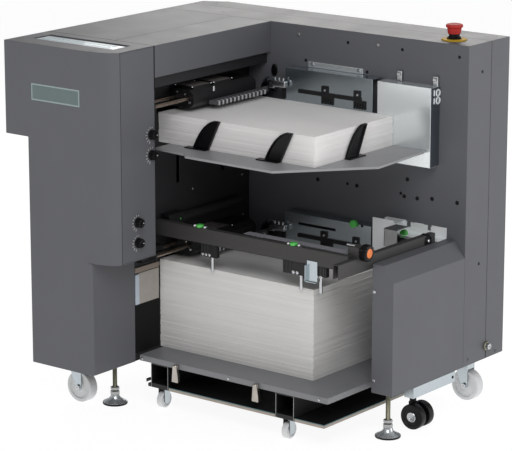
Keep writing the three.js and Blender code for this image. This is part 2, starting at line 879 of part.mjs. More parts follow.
// Boxes to the right of the guide plates: a closed one above, a folded shelf with notched upright below
const box_left = tower_width + guide_left + guide_length + box_gap;

function upperGuideBox() {
  const bottom = upper_stack_top - box_drop;
  const top = upper_stack_top + box_rise;
  const outer = block([box_left, box_left + box_length], [guide_front, feed_back], [bottom, top]);
  return outer.subtract(block(
    [box_left + sheet, box_left + box_length - sheet],
    [guide_front + sheet, feed_back + overrun],
    [bottom + sheet, top - sheet],
  ));
}

function lowerGuideBox() {
  const shelf = body_bottom + lower_cover_height + gap + sheet;
  const top = lower_stack_top + shelf_wall_rise;
  const right = box_left + shelf_length;
  const upright_right = box_left + shelf_upright_length;
  let box = block([box_left, right], [guide_front, feed_back], [shelf - sheet, shelf])
    .add(block([box_left, right], [feed_back - sheet, feed_back], [shelf - sheet, top]))
    .add(block([box_left, upright_right], [guide_front, guide_front + sheet], [shelf - guide_drop, top]))
    .add(block([upright_right - sheet, upright_right], [guide_front, feed_back], [shelf - sheet, top]));
  for (const notch of shelf_notch_places) {
    box = box.subtract(block(
      [box_left + notch, box_left + notch + shelf_notch_width],
      [feed_back - sheet - overrun, feed_back + overrun],
      [top - shelf_notch_depth, top + overrun],
    ));
  }
  return box;
}
place('upper_guide_box', upperGuideBox(), galvanised);
place('lower_guide_box', lowerGuideBox(), galvanised);

// Side guide frame: a bar along the front and a channel along the right, with a clamp block on their corner
const bar_top = bar_bottom + front_bar_height;
const bar_y = [stack_front - front_bar_depth, stack_front];
const thumb_y = stack_front - front_bar_depth / 2;
const thumb_x = thumb_places.map((place_x) => tower_width + place_x);

function frontBar() {
  let bar = block([tower_width + gap, right_bar_left - gap], bar_y, [bar_bottom, bar_top]);
  for (const x of thumb_x) {
    const bore = [bar_top - thumb_shaft_length - gap, bar_top + overrun];
    bar = bar.subtract(rodZ(bore, x, thumb_y, thumb_shaft_radius + gap));
  }
  return bar;
}
place('front_bar', frontBar(), black_steel);

const right_bar_right = right_bar_left + right_bar_width;
const right_bar_bottom = bar_bottom - right_bar_drop;
const right_bar_top = right_bar_bottom + right_bar_height;
const frame_block_front = stack_front + sheet;
const frame_block_back = frame_block_front + frame_block_length;

function rightBar() {
  const x = [right_bar_left, right_bar_right];
  const y = [right_bar_front, guide_front - gap];
  const channel = block(x, y, [right_bar_bottom, right_bar_top]).subtract(block(
    [right_bar_left + sheet, right_bar_right - sheet],
    [right_bar_front - overrun, guide_front + overrun],
    [right_bar_bottom - overrun, right_bar_top - sheet],
  ));
  const block_x = [right_bar_right - frame_block_length, right_bar_right];
  const block_z = [right_bar_top - sheet, right_bar_top + frame_block_height];
  const clamp_block = block(block_x, [frame_block_front, frame_block_back], block_z);
  const middle_y = (frame_block_front + frame_block_back) / 2;
  const middle_z = right_bar_top + frame_block_height / 2;
  const bore = rodX(
    [right_bar_right - frame_block_length / 2, right_bar_right + overrun], middle_y, middle_z,
    thumb_shaft_radius + gap,
  );
  return channel.add(clamp_block).subtract(bore);
}
place('right_bar', rightBar(), black_steel);

// A knob with a scalloped rim on a shaft, along the X axis, seated at x = 0
function flutedKnob(radius, length, shaft_radius, shaft_length, flutes, flute_radius) {
  let knob = rodX([0, length], 0, 0, radius, round_sides)
    .add(rodX([-shaft_length, overrun], 0, 0, shaft_radius));
  for (let i = 0; i < flutes; i++) {
    const angle = (i / flutes) * 2 * Math.PI;
    const y = radius * Math.cos(angle);
    const z = radius * Math.sin(angle);
    knob = knob.subtract(rodX([-overrun, length + overrun], y, z, flute_radius, small_sides / 2));
  }
  return knob;
}

const frame_knob = flutedKnob(
  frame_knob_radius, frame_knob_length, thumb_shaft_radius,
  thumb_shaft_length, frame_knob_teeth, knob_flute_radius,
);
place('frame_knob', frame_knob, black_plastic, [
  right_bar_right + gap,
  (frame_block_front + frame_block_back) / 2,
  right_bar_top + frame_block_height / 2,
]);

const thumb_knob = rodZ([0, thumb_height], 0, 0, thumb_radius, small_sides)
  .add(rodZ([-thumb_shaft_length, overrun / 2], 0, 0, thumb_shaft_radius));
place('thumb_knob_left', thumb_knob, green_plastic, [thumb_x[0], thumb_y, bar_top + gap]);
place('thumb_knob_right', thumb_knob, green_plastic, [thumb_x[1], thumb_y, bar_top + gap]);

// Pile stops hang from the front bar and keep the sheets back with plain steel rods.
const stop_rod_bottom = lower_stack_top - stop_rod_drop;
const stop_top = bar_bottom - gap;
const stop_rod_y = stack_front - gap - stop_rod_radius - sheet;

function stopRod(x) {
  return rodZ([stop_rod_bottom, stop_top - overrun], x, stop_rod_y, stop_rod_radius);
}

const stop_left_x = tower_width + stop_left_place;
const stop_y = [bar_y[0] + sheet, stack_front - sheet];
const stop_z = [stop_top - stop_block_drop, stop_top];
const stop_left = block([stop_left_x, stop_left_x + stop_left_length], stop_y, stop_z)
  .add(stopRod(stop_left_x + stop_left_rod));
place('pile_stop_left', stop_left, black_steel);

function pileStopRight() {
  const left = tower_width + stop_right_place;
  const second = left + stop_right_lengths[0];
  const third = second + stop_right_lengths[1];
  const right = third + stop_right_lengths[2];
  const plate_y = [stop_y[0] + sheet, stop_y[0] + 2 * sheet];
  let stop = block([left, second], stop_y, stop_z)
    .add(block([second - overrun, third + overrun], plate_y, [stop_top - stop_plate_drop, stop_top]))
    .add(block([third, right], stop_y, [stop_top - stop_block_drop + overrun, stop_top]));
  for (const inset of stop_right_rods) stop = stop.add(stopRod(left + inset));
  return stop;
}
place('pile_stop_right', pileStopRight(), black_steel);

// Lift table: a sheet folded down all round, guided by the wall behind it
const table_left = tower_width + table_left_gap;

function liftTable() {
  const outer = block([table_left, table_right], [table_front, feed_back], [table_bottom, table_top]);
  return outer.subtract(block(
    [table_left + sheet, table_right - sheet],
    [table_front + sheet, feed_back - sheet],
    [table_bottom - overrun, table_top - sheet],
  ));
}
place('lift_table', liftTable(), tray_paint);

// Flip latch: a flat lever under a pivot barrel, hanging in front of the table's fold
const latch = block([-latch_width / 2, latch_width / 2], [-latch_thickness, 0], [-latch_length, 0])
  .add(rodX([-latch_width / 2, latch_width / 2], -latch_pivot_radius, 0, latch_pivot_radius));
const latch_z = table_top - latch_pivot_drop;
place('table_latch_left', latch, bright_steel, [table_left + latch_places[0], table_front - gap, latch_z]);
place('table_latch_right', latch, bright_steel, [table_left + latch_places[1], table_front - gap, latch_z]);

// Cart: two box rails on a lipped plate, small wheels in forks at both ends of the rails
const rail_front = table_front;
const rail_top = table_bottom - gap;
const rail_back = feed_back - rail_back_gap;
const rail_middles = rail_places.map((left) => left + rail_box_width / 2);
const front_axle_y = rail_front + cart_axle_inset;
const rear_axle_y = rail_back - cart_axle_inset;
const plate_front = rail_front;
const plate_back = rail_back - rail_foot_length - gap;

function cartFork(middle, axle_y, pin) {
  const leg_x = cart_wheel_width / 2 + gap;
  const top = rail_bottom + sheet;
  let fork = null;
  for (const side of [-1, 1]) {
    const near = side * leg_x;
    const far = side * (leg_x + sheet);
    const x = [middle + Math.min(near, far), middle + Math.max(near, far)];
    const leg = block(x, [axle_y - fork_boss_radius, axle_y + fork_boss_radius], [cart_wheel_radius, top])
      .add(rodX(x, axle_y, cart_wheel_radius, fork_boss_radius));
    fork = fork ? fork.add(leg) : leg;
  }
  const pin_x = [middle - leg_x - sheet, middle + leg_x + sheet];
  if (pin) return fork.add(rodX(pin_x, axle_y, cart_wheel_radius, axle_radius));
  const bore_x = [middle - rail_box_width, middle + rail_box_width];
  return fork.subtract(rodX(bore_x, axle_y, cart_wheel_radius, axle_radius + gap));
}

function cartRail(left) {
  const right = left + rail_box_width;
  const middle = left + rail_box_width / 2;
  const upper_bottom = cart_plate_top + gap;
  const tube = block([left, right], [rail_front, rail_back], [upper_bottom, rail_top]).subtract(block(
    [left + rail_wall, right - rail_wall],
    [rail_front - overrun, rail_back + overrun],
    [upper_bottom + rail_wall, rail_top - rail_wall],
  ));
  const foot_z = [rail_bottom, upper_bottom + rail_wall];
  return tube
    .add(block([left, right], [rail_front, rail_front + rail_foot_length], foot_z))
    .add(block([left, right], [rail_back - rail_foot_length, rail_back], foot_z))
    .add(cartFork(middle, front_axle_y, true))
    .add(cartFork(middle, rear_axle_y, false));
}
place('cart_rail_left', cartRail(rail_places[0]), black_steel);
place('cart_rail_right', cartRail(rail_places[1]), black_steel);

function cartBasePlate() {
  const x = [cart_plate_left, cart_plate_right];
  const y = [plate_front, plate_back];
  const lip_z = [rail_bottom, cart_plate_top];
  let plate = block(x, y, [cart_plate_top - sheet, cart_plate_top])
    .add(block(x, [plate_front, plate_front + sheet], lip_z))
    .add(block([cart_plate_right - sheet, cart_plate_right], y, lip_z));
  for (const left of rail_places) {
    plate = plate.subtract(block(
      [left - gap, left + rail_box_width + gap],
      [plate_front - overrun, rail_front + rail_foot_length + gap],
      [rail_bottom - overrun, cart_plate_top + overrun],
    ));
  }
  return plate;
}
place('cart_base_plate', cartBasePlate(), black_steel);

// A wheel with a crowned tread and a bore, turned about the X axis
function wheel(radius, width, bore) {
  const shoulder = radius * wheel_shoulder_share;
  const half = width / 2;
  const tread = half * wheel_tread_share;
  const profile = [
    [bore, -half], [shoulder, -half], [radius, -tread], [radius, tread], [shoulder, half], [bore, half],
    [bore, -half],
  ];
  return turned(profile).rotate([0, 90, 0]);
}
const cart_wheel = wheel(cart_wheel_radius, cart_wheel_width, axle_radius + gap);
place('cart_wheel_left', cart_wheel, white_nylon, [rail_middles[0], front_axle_y, cart_wheel_radius]);
place('cart_wheel_right', cart_wheel, white_nylon, [rail_middles[1], front_axle_y, cart_wheel_radius]);

function cartRearAxle() {
  const reach = cart_wheel_width / 2 + overrun;
  let axle = rodX([rail_middles[0] - reach, rail_middles[1] + reach], 0, 0, axle_radius);
  for (const middle of rail_middles) {
    axle = axle.add(wheel(cart_wheel_radius, cart_wheel_width, axle_radius - gap).translate([middle, 0, 0]));
  }
  return axle;
}
place('cart_rear_axle', cartRearAxle(), white_nylon, [0, rear_axle_y, cart_wheel_radius]);

// Swivel caster: a fork with trail under a round swivel head, its wheel turning about the Y axis
const caster_top = body_bottom - gap;

function swivelFork() {
  const head_bottom_z = caster_top - caster_disc_height;
  const inner = caster_wheel_width / 2 + gap;
  const outer = inner + fork_plate;
  const crown_bottom = 2 * caster_radius + sheet;
  const crown_x = [-caster_trail - fork_boss_radius, fork_boss_radius];
  let fork = rodZ([head_bottom_z - gap, caster_top], -caster_trail, 0, caster_disc_radius, round_sides)
    .add(block(crown_x, [-outer, outer], [crown_bottom, head_bottom_z]));
  const leg = outline([
    [-caster_trail - 2 * fork_boss_radius, head_bottom_z], [fork_boss_radius, head_bottom_z],
    [fork_boss_radius, caster_radius], [-fork_boss_radius, caster_radius],
  ]);
  for (const side of [-1, 1]) {
    const y = side < 0 ? [-outer, -inner] : [inner, outer];
    fork = fork.add(prismY(leg, y)).add(rodY(y, 0, caster_radius, fork_boss_radius));
  }
  return fork.add(rodY([-outer - sheet, outer + sheet], 0, caster_radius, axle_radius));
}

function casterWheel() {
  const hub = wheel(caster_radius, caster_wheel_width, axle_radius + gap).rotate([0, 0, 90]);
  const groove_depth = sheet;
  const half = caster_wheel_width / 2;
  const web_radius = caster_radius * caster_web_share;
  const ring = (y) => rodY(y, 0, 0, web_radius, round_sides).subtract(rodY(y, 0, 0, caster_hub_radius));
  return hub
    .subtract(ring([-half - overrun, groove_depth - half]))
    .subtract(ring([half - groove_depth, half + overrun]));
}

const caster_fork = swivelFork();
const caster_wheel = casterWheel();
for (const [name, [x, y]] of [['front', front_caster], ['end', end_caster], ['rear', rear_caster]]) {
  place(`${name}_caster_fork`, caster_fork, galvanised, [x, y, 0]);
  place(`${name}_caster_wheel`, caster_wheel, white_nylon, [x, y, caster_radius]);
}

// Twin caster under a hanging bracket: two narrow wheels on one axle beside a stem body
const twin_bracket_bottom = caster_top - twin_bracket_height;
const twin_bracket_right = body_length - gap;
const twin_stem_x = twin_caster[0] - twin_trail;

function twinBracket() {
  const x = [twin_bracket_right - twin_bracket_width, twin_bracket_right];
  const y = [twin_caster[1] - twin_bracket_front, twin_caster[1] - twin_bracket_front + twin_bracket_length];
  const channel = block(x, y, [twin_bracket_bottom, caster_top]).subtract(block(
    [x[0] + sheet, x[1] - sheet],
    [y[0] + sheet, y[1] - sheet],
    [twin_bracket_bottom + sheet, caster_top + overrun],
  ));
  const boss_top = twin_bracket_bottom + sheet;
  const boss_z = [twin_bracket_bottom, boss_top + twin_bracket_boss];
  const bore_z = [boss_z[0] - overrun, boss_z[1] + overrun];
  return channel
    .add(rodZ(boss_z, twin_stem_x, twin_caster[1], twin_bracket_boss))
    .subtract(rodZ(bore_z, twin_stem_x, twin_caster[1], twin_stem_radius + gap));
}
place('twin_caster_bracket', twinBracket(), galvanised);

function twinFork() {
  const half = twin_body_width / 2;
  const body_top_z = 2 * twin_radius + gap;
  const stem_top = twin_bracket_bottom + twin_bracket_boss;
  const body = rodY([-half, half], 0, twin_radius, twin_body_radius, round_sides)
    .add(block([-twin_trail - half, 0], [-half, half], [twin_radius, body_top_z]))
    .add(rodZ([body_top_z - overrun, stem_top], -twin_trail, 0, twin_stem_radius))
    .add(rodZ([body_top_z, twin_bracket_bottom - gap], -twin_trail, 0, twin_stem_radius + sheet));
  return body.subtract(rodY([-half - overrun, half + overrun], 0, twin_radius, axle_radius + gap));
}

function twinWheels() {
  const inner = twin_body_width / 2 + gap;
  const outer = inner + twin_wheel_width;
  const middle = (inner + outer) / 2;
  const one = wheel(twin_radius, twin_wheel_width, axle_radius - gap).rotate([0, 0, 90]);
  return rodY([-outer, outer], 0, 0, axle_radius)
    .add(one.translate([0, -middle, 0]))
    .add(one.translate([0, middle, 0]));
}
place('twin_caster_fork', twinFork(), black_plastic, [...twin_caster, 0]);
place('twin_caster_wheels', twinWheels(), black_rubber, [...twin_caster, twin_radius]);

// Levelling foot: coned pad with a collar on a threaded rod that runs up through the base
const foot_collar_top = foot_cone_height + foot_collar_height;
const levelling_foot = turned([
  [0, 0], [foot_pad_radius, 0], [foot_pad_radius, foot_pad_edge],
  [foot_collar_radius + foot_rod_radius, foot_cone_height - foot_pad_edge],
  [foot_collar_radius, foot_cone_height],
  [foot_collar_radius, foot_collar_top], [foot_rod_radius, foot_collar_top], [foot_rod_radius, foot_rod_top],
  [0, foot_rod_top],
]);
place('levelling_foot_left', levelling_foot, bright_steel, [...left_foot, 0]);
place('levelling_foot_right', levelling_foot, bright_steel, [...right_foot, 0]);

// Air knobs on the knob panel
const air_knob = flutedKnob(
  knob_radius, knob_length, knob_shaft_radius, knob_shaft_length, knob_flutes, knob_flute_radius,
);
knob_places.forEach(([y, z], i) => {
  place(`air_knob_${i + 1}`, air_knob, black_plastic, [head_width + gap, y, z]);
});

// Emergency stop: ring and collar with a bore, and a mushroom button whose stem travels in it
const stop_collar_top = stop_ring_height + stop_collar_height;
const stop_bore = stop_stem_radius + gap;
const stop_ring = turned([
  [stop_bore, 0], [stop_ring_radius, 0], [stop_ring_radius, stop_ring_height],
  [stop_collar_radius, stop_ring_height], [stop_collar_radius, stop_collar_top], [stop_bore, stop_collar_top],
  [stop_bore, 0],
]);
const stop_head_bottom = stop_collar_top + stop_travel + gap;
const stop_stem_bottom = stop_collar_top - stop_stem_length + stop_travel;
const stop_button = turned([
  [0, stop_stem_bottom], [stop_stem_radius, stop_stem_bottom],
  [stop_stem_radius, stop_head_bottom], [stop_neck_radius, stop_head_bottom],
  [stop_head_radius, stop_head_bottom + stop_skirt_height],
  [stop_head_radius, stop_head_bottom + 2 * stop_skirt_height],
  [stop_neck_radius, stop_head_bottom + stop_head_height], [0, stop_head_bottom + stop_head_height],
]);
place('estop_ring', stop_ring, yellow_plastic, [...stop_centre, body_top]);
place('estop_button', stop_button, red_plastic, [...stop_centre, body_top]);

// The origin lies on the floor under the middle of the machine.
const bounds = new THREE.Box3().setFromObject(machine);
const middle = bounds.getCenter(new THREE.Vector3());
machine.position.set(-middle.x, -middle.y, -bounds.min.z);
const assembly = new THREE.Group();
assembly.add(machine);

export default assembly;
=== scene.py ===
# %% [markdown]
# # A two-bin sheet feeder, dressed for its portrait
#
# The machine stands ready as plain solids, one for each piece that can be unscrewed on the bench.
# This notebook gives every piece the finish and the small forms that it has on the real machine:
# powder coat, galvanised sheet, moulded knobs, spun wheels and sheets of paper.
# The solids keep their places, so each new piece is set where its solid stands.

# %% Load the machine as a fixed frame
import json
import math
import random

import bpy
from mathutils import Matrix, Vector


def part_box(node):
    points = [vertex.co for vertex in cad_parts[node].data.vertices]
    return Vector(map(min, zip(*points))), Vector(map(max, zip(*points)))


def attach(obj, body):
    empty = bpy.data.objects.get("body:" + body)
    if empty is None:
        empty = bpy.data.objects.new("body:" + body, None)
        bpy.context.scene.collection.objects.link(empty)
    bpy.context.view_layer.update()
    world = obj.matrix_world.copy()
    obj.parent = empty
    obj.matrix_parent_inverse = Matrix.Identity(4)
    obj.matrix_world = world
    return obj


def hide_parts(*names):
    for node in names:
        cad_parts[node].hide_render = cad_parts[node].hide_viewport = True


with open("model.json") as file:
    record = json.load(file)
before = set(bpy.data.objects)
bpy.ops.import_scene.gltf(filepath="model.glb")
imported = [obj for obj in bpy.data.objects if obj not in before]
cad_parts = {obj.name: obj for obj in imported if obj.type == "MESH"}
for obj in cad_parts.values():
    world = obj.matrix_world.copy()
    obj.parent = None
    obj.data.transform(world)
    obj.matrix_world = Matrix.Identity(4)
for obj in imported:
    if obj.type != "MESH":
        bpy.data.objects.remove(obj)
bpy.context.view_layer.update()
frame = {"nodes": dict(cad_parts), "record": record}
mm = 0.001
overhang = 70
front_cover_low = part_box("tower_front_cover")[0]
machine_corner = Vector((front_cover_low.x + overhang * mm, front_cover_low.y, 0))


def spot(x, y, z):
    """A point in millimetres from the floor below the front left corner of the machine's body."""
    return machine_corner + Vector((x, y, z)) * mm


def corners(node):
    """A node's lowest and highest corners in the same millimetres."""
    low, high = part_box(node)
    return (low - machine_corner) / mm, (high - machine_corner) / mm


# %% [markdown]
# A photograph is first of all a place to stand. The camera is set by two angles and a distance,
# with a long lens, because the machine's upright edges stay nearly parallel in the picture.

# %% Camera
sensor_width = 36
image_width = 512
focal_length_px = 2577.7
camera_azimuth = math.radians(38.04)
camera_elevation = math.radians(13.97)
camera_place = spot(4013.5, -4273.7, 1889.7)

camera = bpy.data.objects.new("camera", bpy.data.cameras.new("camera"))
bpy.context.scene.collection.objects.link(camera)
camera.data.sensor_width = sensor_width
camera.data.lens = focal_length_px / image_width * sensor_width
camera.data.clip_end = 100
camera.location = camera_place
looking = Vector((
    -math.sin(camera_azimuth) * math.cos(camera_elevation),
    math.cos(camera_azimuth) * math.cos(camera_elevation),
    -math.sin(camera_elevation),
))
camera.rotation_euler = looking.to_track_quat("-Z", "Y").to_euler()
bpy.context.scene.camera = camera
print("lens", round(camera.data.lens, 1), "mm")

# %% [markdown]
# Shader maths reads best as plain arithmetic. A small class wraps a socket, so that
# `0.4 + grain * 0.1` adds the Math nodes by itself. Any other node comes from one method.


# %% Shader sockets that take part in arithmetic
class Signal:
    """An output of a shader node on which the usual operators work."""

    def __init__(self, finish, socket):
        self.finish = finish
        self.socket = socket

    def __add__(self, other):
        return self.finish.maths("ADD", self, other)

    def __sub__(self, other):
        return self.finish.maths("SUBTRACT", self, other)

    def __mul__(self, other):
        return self.finish.maths("MULTIPLY", self, other)

    __radd__ = __add__


class Finish:
    """A material on object coordinates, built up from what varies over its surface."""

    def __init__(self, name, metallic=0.0, coat=0.0, specular=0.5):
        self.material = bpy.data.materials.new(name)
        self.material.use_nodes = True
        self.tree = self.material.node_tree
        self.shader = self.tree.nodes["Principled BSDF"]
        self.shader.inputs["Metallic"].default_value = metallic
        self.shader.inputs["Coat Weight"].default_value = coat
        self.shader.inputs["Specular IOR Level"].default_value = specular
        self.place = self.node("ShaderNodeTexCoord", output="Object")

    def node(self, kind, settings=None, inputs=None, output=0):
        """Adds a node, sets it, feeds its sockets and hands back one output."""
        node = self.tree.nodes.new(kind)
        for key, value in (settings or {}).items():
            setattr(node, key, value)
        for key, value in (inputs or {}).items():
            self.feed(node.inputs[key], value)
        return Signal(self, node.outputs[output])

    def feed(self, socket, value):
        if isinstance(value, Signal):
            self.tree.links.new(value.socket, socket)
        else:
            socket.default_value = value

    def maths(self, operation, a, b):
        return self.node("ShaderNodeMath", {"operation": operation}, {0: a, 1: b})

    def stretched(self, x, y, z):
        return self.node("ShaderNodeMapping", None, {"Vector": self.place, "Scale": (x, y, z)})

    def noise(self, scale, detail, place=None):
        """Soft noise between 0 and 1; scale is in waves per metre."""
        return self.node("ShaderNodeTexNoise", None, {
            "Vector": place or self.place, "Scale": scale, "Detail": detail,
        })

    def mix(self, factor, a, b):
        """One colour fading into another, both given as a screen shows them."""
        inputs = {0: factor, 6: ink(*a), 7: ink(*b)}
        return self.node("ShaderNodeMix", {"data_type": "RGBA"}, inputs, output=2)

    def wear(self, colour, roughness, relief=None, depth=0.0):
        """Feeds what varies into the shader and returns the material; depth is in metres."""
        self.feed(self.shader.inputs["Base Color"], colour)
        self.feed(self.shader.inputs["Roughness"], roughness)
        if relief is not None:
            bump = self.node("ShaderNodeBump", None, {"Height": relief, "Strength": 1.0, "Distance": depth})
            self.feed(self.shader.inputs["Normal"], bump)
        return self.material


def ink(red, green, blue):
    """A colour as a screen shows it, 0 to 255, made linear for the shader."""
    def linear(level):
        share = level / 255
        return share / 12.92 if share <= 0.04045 else ((share + 0.055) / 1.055) ** 2.4
    return (linear(red), linear(green), linear(blue), 1)


# %% [markdown]
# Most of the machine is powder coated sheet. The coat is never quite even: it has a fine orange
# peel, slightly cloudy colour, and hands leave it a little smoother here and there. The machine's
# other paints are the same coat in other colours.


# %% Powder coat
def powder_coat(name, colour, darker, roughness):
    coat = Finish(name, specular=0.4)
    peel = coat.noise(900, 3)
    cloud = coat.noise(5, 3)
    rubbed = coat.noise(14, 2)
    speckle = coat.noise(2600, 1)
    tone = coat.mix(cloud * 0.7 + speckle * 0.3, darker, colour)
    return coat.wear(tone, roughness + (rubbed - 0.5) * 0.12, peel, 0.00006)


grey_coat = powder_coat("grey_powder_coat", (100, 101, 105), (92, 93, 97), 0.5)
dark_coat = powder_coat("dark_powder_coat", (40, 40, 42), (30, 30, 32), 0.55)
tray_coat = powder_coat("tray_powder_coat", (156, 156, 157), (146, 147, 149), 0.42)
table_coat = powder_coat("table_powder_coat", (132, 133, 135), (122, 123, 126), 0.42)
bar_coat = powder_coat("bar_powder_coat", (68, 66, 65), (57, 56, 55), 0.5)

# %% [markdown]
# Galvanised sheet shows spangle, the frozen crystals of the zinc bath. From a few steps away it is
# a soft grain over broad clouds, in the tone and in the gloss. Bright zinc and polished steel are
# drawn metal: they only show faint lines along the piece.


# %% Metals
def galvanised_sheet(name, light, dark, gloss, metallic=0.95):
    zinc = Finish(name, metallic=metallic)
    spangle = zinc.noise(150, 1)
    cloud = zinc.noise(6, 3)
    colour = zinc.mix(spangle * 0.3 + cloud * 0.7, dark, light)
    return zinc.wear(colour, gloss + spangle * 0.06 + cloud * 0.06, cloud, 0.0004)


def drawn_metal(name, light, dark, roughness, metallic=1.0):
    metal = Finish(name, metallic=metallic)
    lines = metal.noise(60, 4, metal.stretched(8, 8, 1))
    smudge = metal.noise(30, 2)
    colour = metal.mix(smudge, dark, light)
    return metal.wear(colour, roughness + lines * 0.12, lines, 0.00002)


zinc_sheet = galvanised_sheet("galvanised_sheet", (200, 208, 212), (174, 184, 189), 0.18)
pale_zinc = galvanised_sheet("pale_zinc_sheet", (250, 252, 252), (232, 239, 241), 0.16, 0.75)
white_zinc = galvanised_sheet("white_zinc_sheet", (252, 253, 253), (240, 244, 245), 0.34, 0.3)
dull_steel = drawn_metal("dull_steel", (196, 197, 196), (160, 161, 160), 0.4)
foot_steel = drawn_metal("foot_steel", (236, 240, 243), (214, 219, 223), 0.18, 0.8)
bright_metal = drawn_metal("bright_metal", (214, 215, 216), (176, 178, 181), 0.16)
black_metal = drawn_metal("black_metal", (32, 32, 34), (20, 20, 22), 0.36, 0.3)

# %% [markdown]
# Moulded parts carry the grain of their tool. Nylon wheels are slightly cloudy, rubber is dull,
# and the small knobs are glossier than the emergency stop.


# %% Plastics and rubber
def moulded(name, colour, darker, roughness, coat=0.0, grain=700, specular=0.5):
    plastic = Finish(name, coat=coat, specular=specular)
    leather = plastic.noise(grain, 2)
    cloud = plastic.noise(40, 2)
    tone = plastic.mix(cloud, darker, colour)
    return plastic.wear(tone, roughness + leather * 0.1, leather, 0.00005)


black_moulding = moulded("black_moulding", (16, 16, 18), (9, 9, 11), 0.24, specular=0.22)
comb_moulding = moulded("comb_moulding", (92, 92, 94), (74, 74, 77), 0.36)
nylon = moulded("white_nylon", (232, 233, 233), (206, 208, 209), 0.38, grain=200)
tyre_rubber = moulded("tyre_rubber", (14, 14, 15), (8, 8, 9), 0.34, grain=400, specular=0.25)
green_moulding = moulded("green_moulding", (98, 214, 96), (66, 180, 72), 0.32, coat=0.2)
red_moulding = moulded("red_moulding", (196, 42, 36), (172, 30, 28), 0.55)
yellow_moulding = moulded("yellow_moulding", (208, 172, 34), (186, 148, 24), 0.6)
orange_moulding = moulded("orange_moulding", (244, 136, 44), (226, 108, 26), 0.34, coat=0.2)

# %% [markdown]
# A pile of paper is not white but a thousand pale lines. Noise that is stretched flat along the
# height draws the sheets' edges: broad bands for the reams and fine ones for single sheets.


# %% Paper
def cut_paper(name, light, shade, band_share):
    paper = Finish(name, specular=0.25)
    reams = paper.noise(1, 3, paper.stretched(2, 2, 170))
    sheets = paper.noise(1, 2, paper.stretched(5, 5, 1500))
    cloud = paper.noise(7, 2)
    lines = reams * band_share + sheets * (0.75 - band_share) + cloud * 0.25
    colour = paper.mix(lines, shade, light)
    return paper.wear(colour, 0.82 + cloud * 0.08, sheets, 0.0003)


upper_paper = cut_paper("upper_pile_paper", (255, 254, 252), (224, 221, 219), 0.4)
lower_paper = cut_paper("lower_pile_paper", (244, 243, 240), (206, 204, 201), 0.45)

finishes = {
    "grey_paint": grey_coat,
    "dark_paint": dark_coat,
    "tray_paint": tray_coat,
    "black_steel": black_metal,
    "black_plastic": black_moulding,
    "galvanised": zinc_sheet,
    "bright_steel": bright_metal,
    "comb_plastic": comb_moulding,
    "white_nylon": nylon,
    "black_rubber": tyre_rubber,
    "paper_white": upper_paper,
    "green_plastic": green_moulding,
    "red_plastic": red_moulding,
    "yellow_plastic": yellow_moulding,
}
slot_of = {row["node"]: row["material_slot"] for row in frame["record"]["subparts"]}
body_of = {node: body for body, nodes in frame["record"]["behaviour"]["bodies"].items() for node in nodes}
for node, solid in frame["nodes"].items():
    solid.data.materials.clear()
    solid.data.materials.append(finishes[slot_of[node]])

# %% [markdown]
# Everything new is modelled the way a hand would do it: add a primitive, shape it in edit mode,
# and finish it with modifiers. These few helpers keep the steps short. Everything is deselected
# first, because an operator works on all that is selected.


# %% Modelling helpers
def begin(primitive, **where):
    """Adds a primitive alone in the selection and fixes its place in its mesh."""
    bpy.ops.object.select_all(action="DESELECT")
    primitive(**where)
    bpy.ops.object.transform_apply(location=True, rotation=True, scale=True)
    return bpy.context.object


def only(piece):
    bpy.ops.object.select_all(action="DESELECT")
    piece.select_set(True)
    bpy.context.view_layer.objects.active = piece


def open_edit():
    """Edit mode with everything selected."""
    bpy.ops.object.mode_set(mode="EDIT")
    bpy.ops.mesh.select_all(action="SELECT")


def close_edit():
    bpy.ops.object.mode_set(mode="OBJECT")


def close_outwards():
    """Turns all faces outwards and leaves edit mode."""
    bpy.ops.mesh.select_all(action="SELECT")
    bpy.ops.mesh.normals_make_consistent(inside=False)
    close_edit()


def pick_faces(piece, wanted):
    """Leaves edit mode open with only the faces that wanted(centre, normal) says yes to."""
    only(piece)
    bpy.ops.object.mode_set(mode="EDIT")
    bpy.ops.mesh.select_mode(type="FACE")
    bpy.ops.mesh.select_all(action="DESELECT")
    close_edit()
    for face in piece.data.polygons:
        face.select = wanted(face.center, face.normal)
    bpy.ops.object.mode_set(mode="EDIT")


def pull(way):
    """Extrudes what is selected along a vector."""
    bpy.ops.mesh.extrude_region_move(TRANSFORM_OT_translate={"value": way})


def bevelled(piece, width):
    """Eases the edges with an applied Bevel and keeps the flats between them flat to the light."""
    only(piece)
    bpy.ops.object.shade_smooth()
    bevel = piece.modifiers.new("ease", "BEVEL")
    bevel.width = width
    bevel.segments = 2
    bevel.limit_method = "ANGLE"
    bevel.angle_limit = math.radians(30)
    bevel.use_clamp_overlap = False
    bevel.harden_normals = True
    bpy.ops.object.modifier_apply(modifier=bevel.name)
    flat = piece.modifiers.new("flat", "WEIGHTED_NORMAL")
    flat.keep_sharp = True
    bpy.ops.object.modifier_apply(modifier=flat.name)
    return piece


def bar(low, high, edge, origin=Vector((0, 0, 0))):
    """A bar with eased edges between two opposite corners, in millimetres from an origin."""
    low, high = origin + Vector(low) * mm, origin + Vector(high) * mm
    piece = begin(bpy.ops.mesh.primitive_cube_add, size=1, location=(low + high) / 2, scale=high - low)
    return bevelled(piece, edge * mm)


def slab(low, high, edge):
    """A bar between two corners given in the machine's millimetres."""
    return bar(low, high, edge, machine_corner)


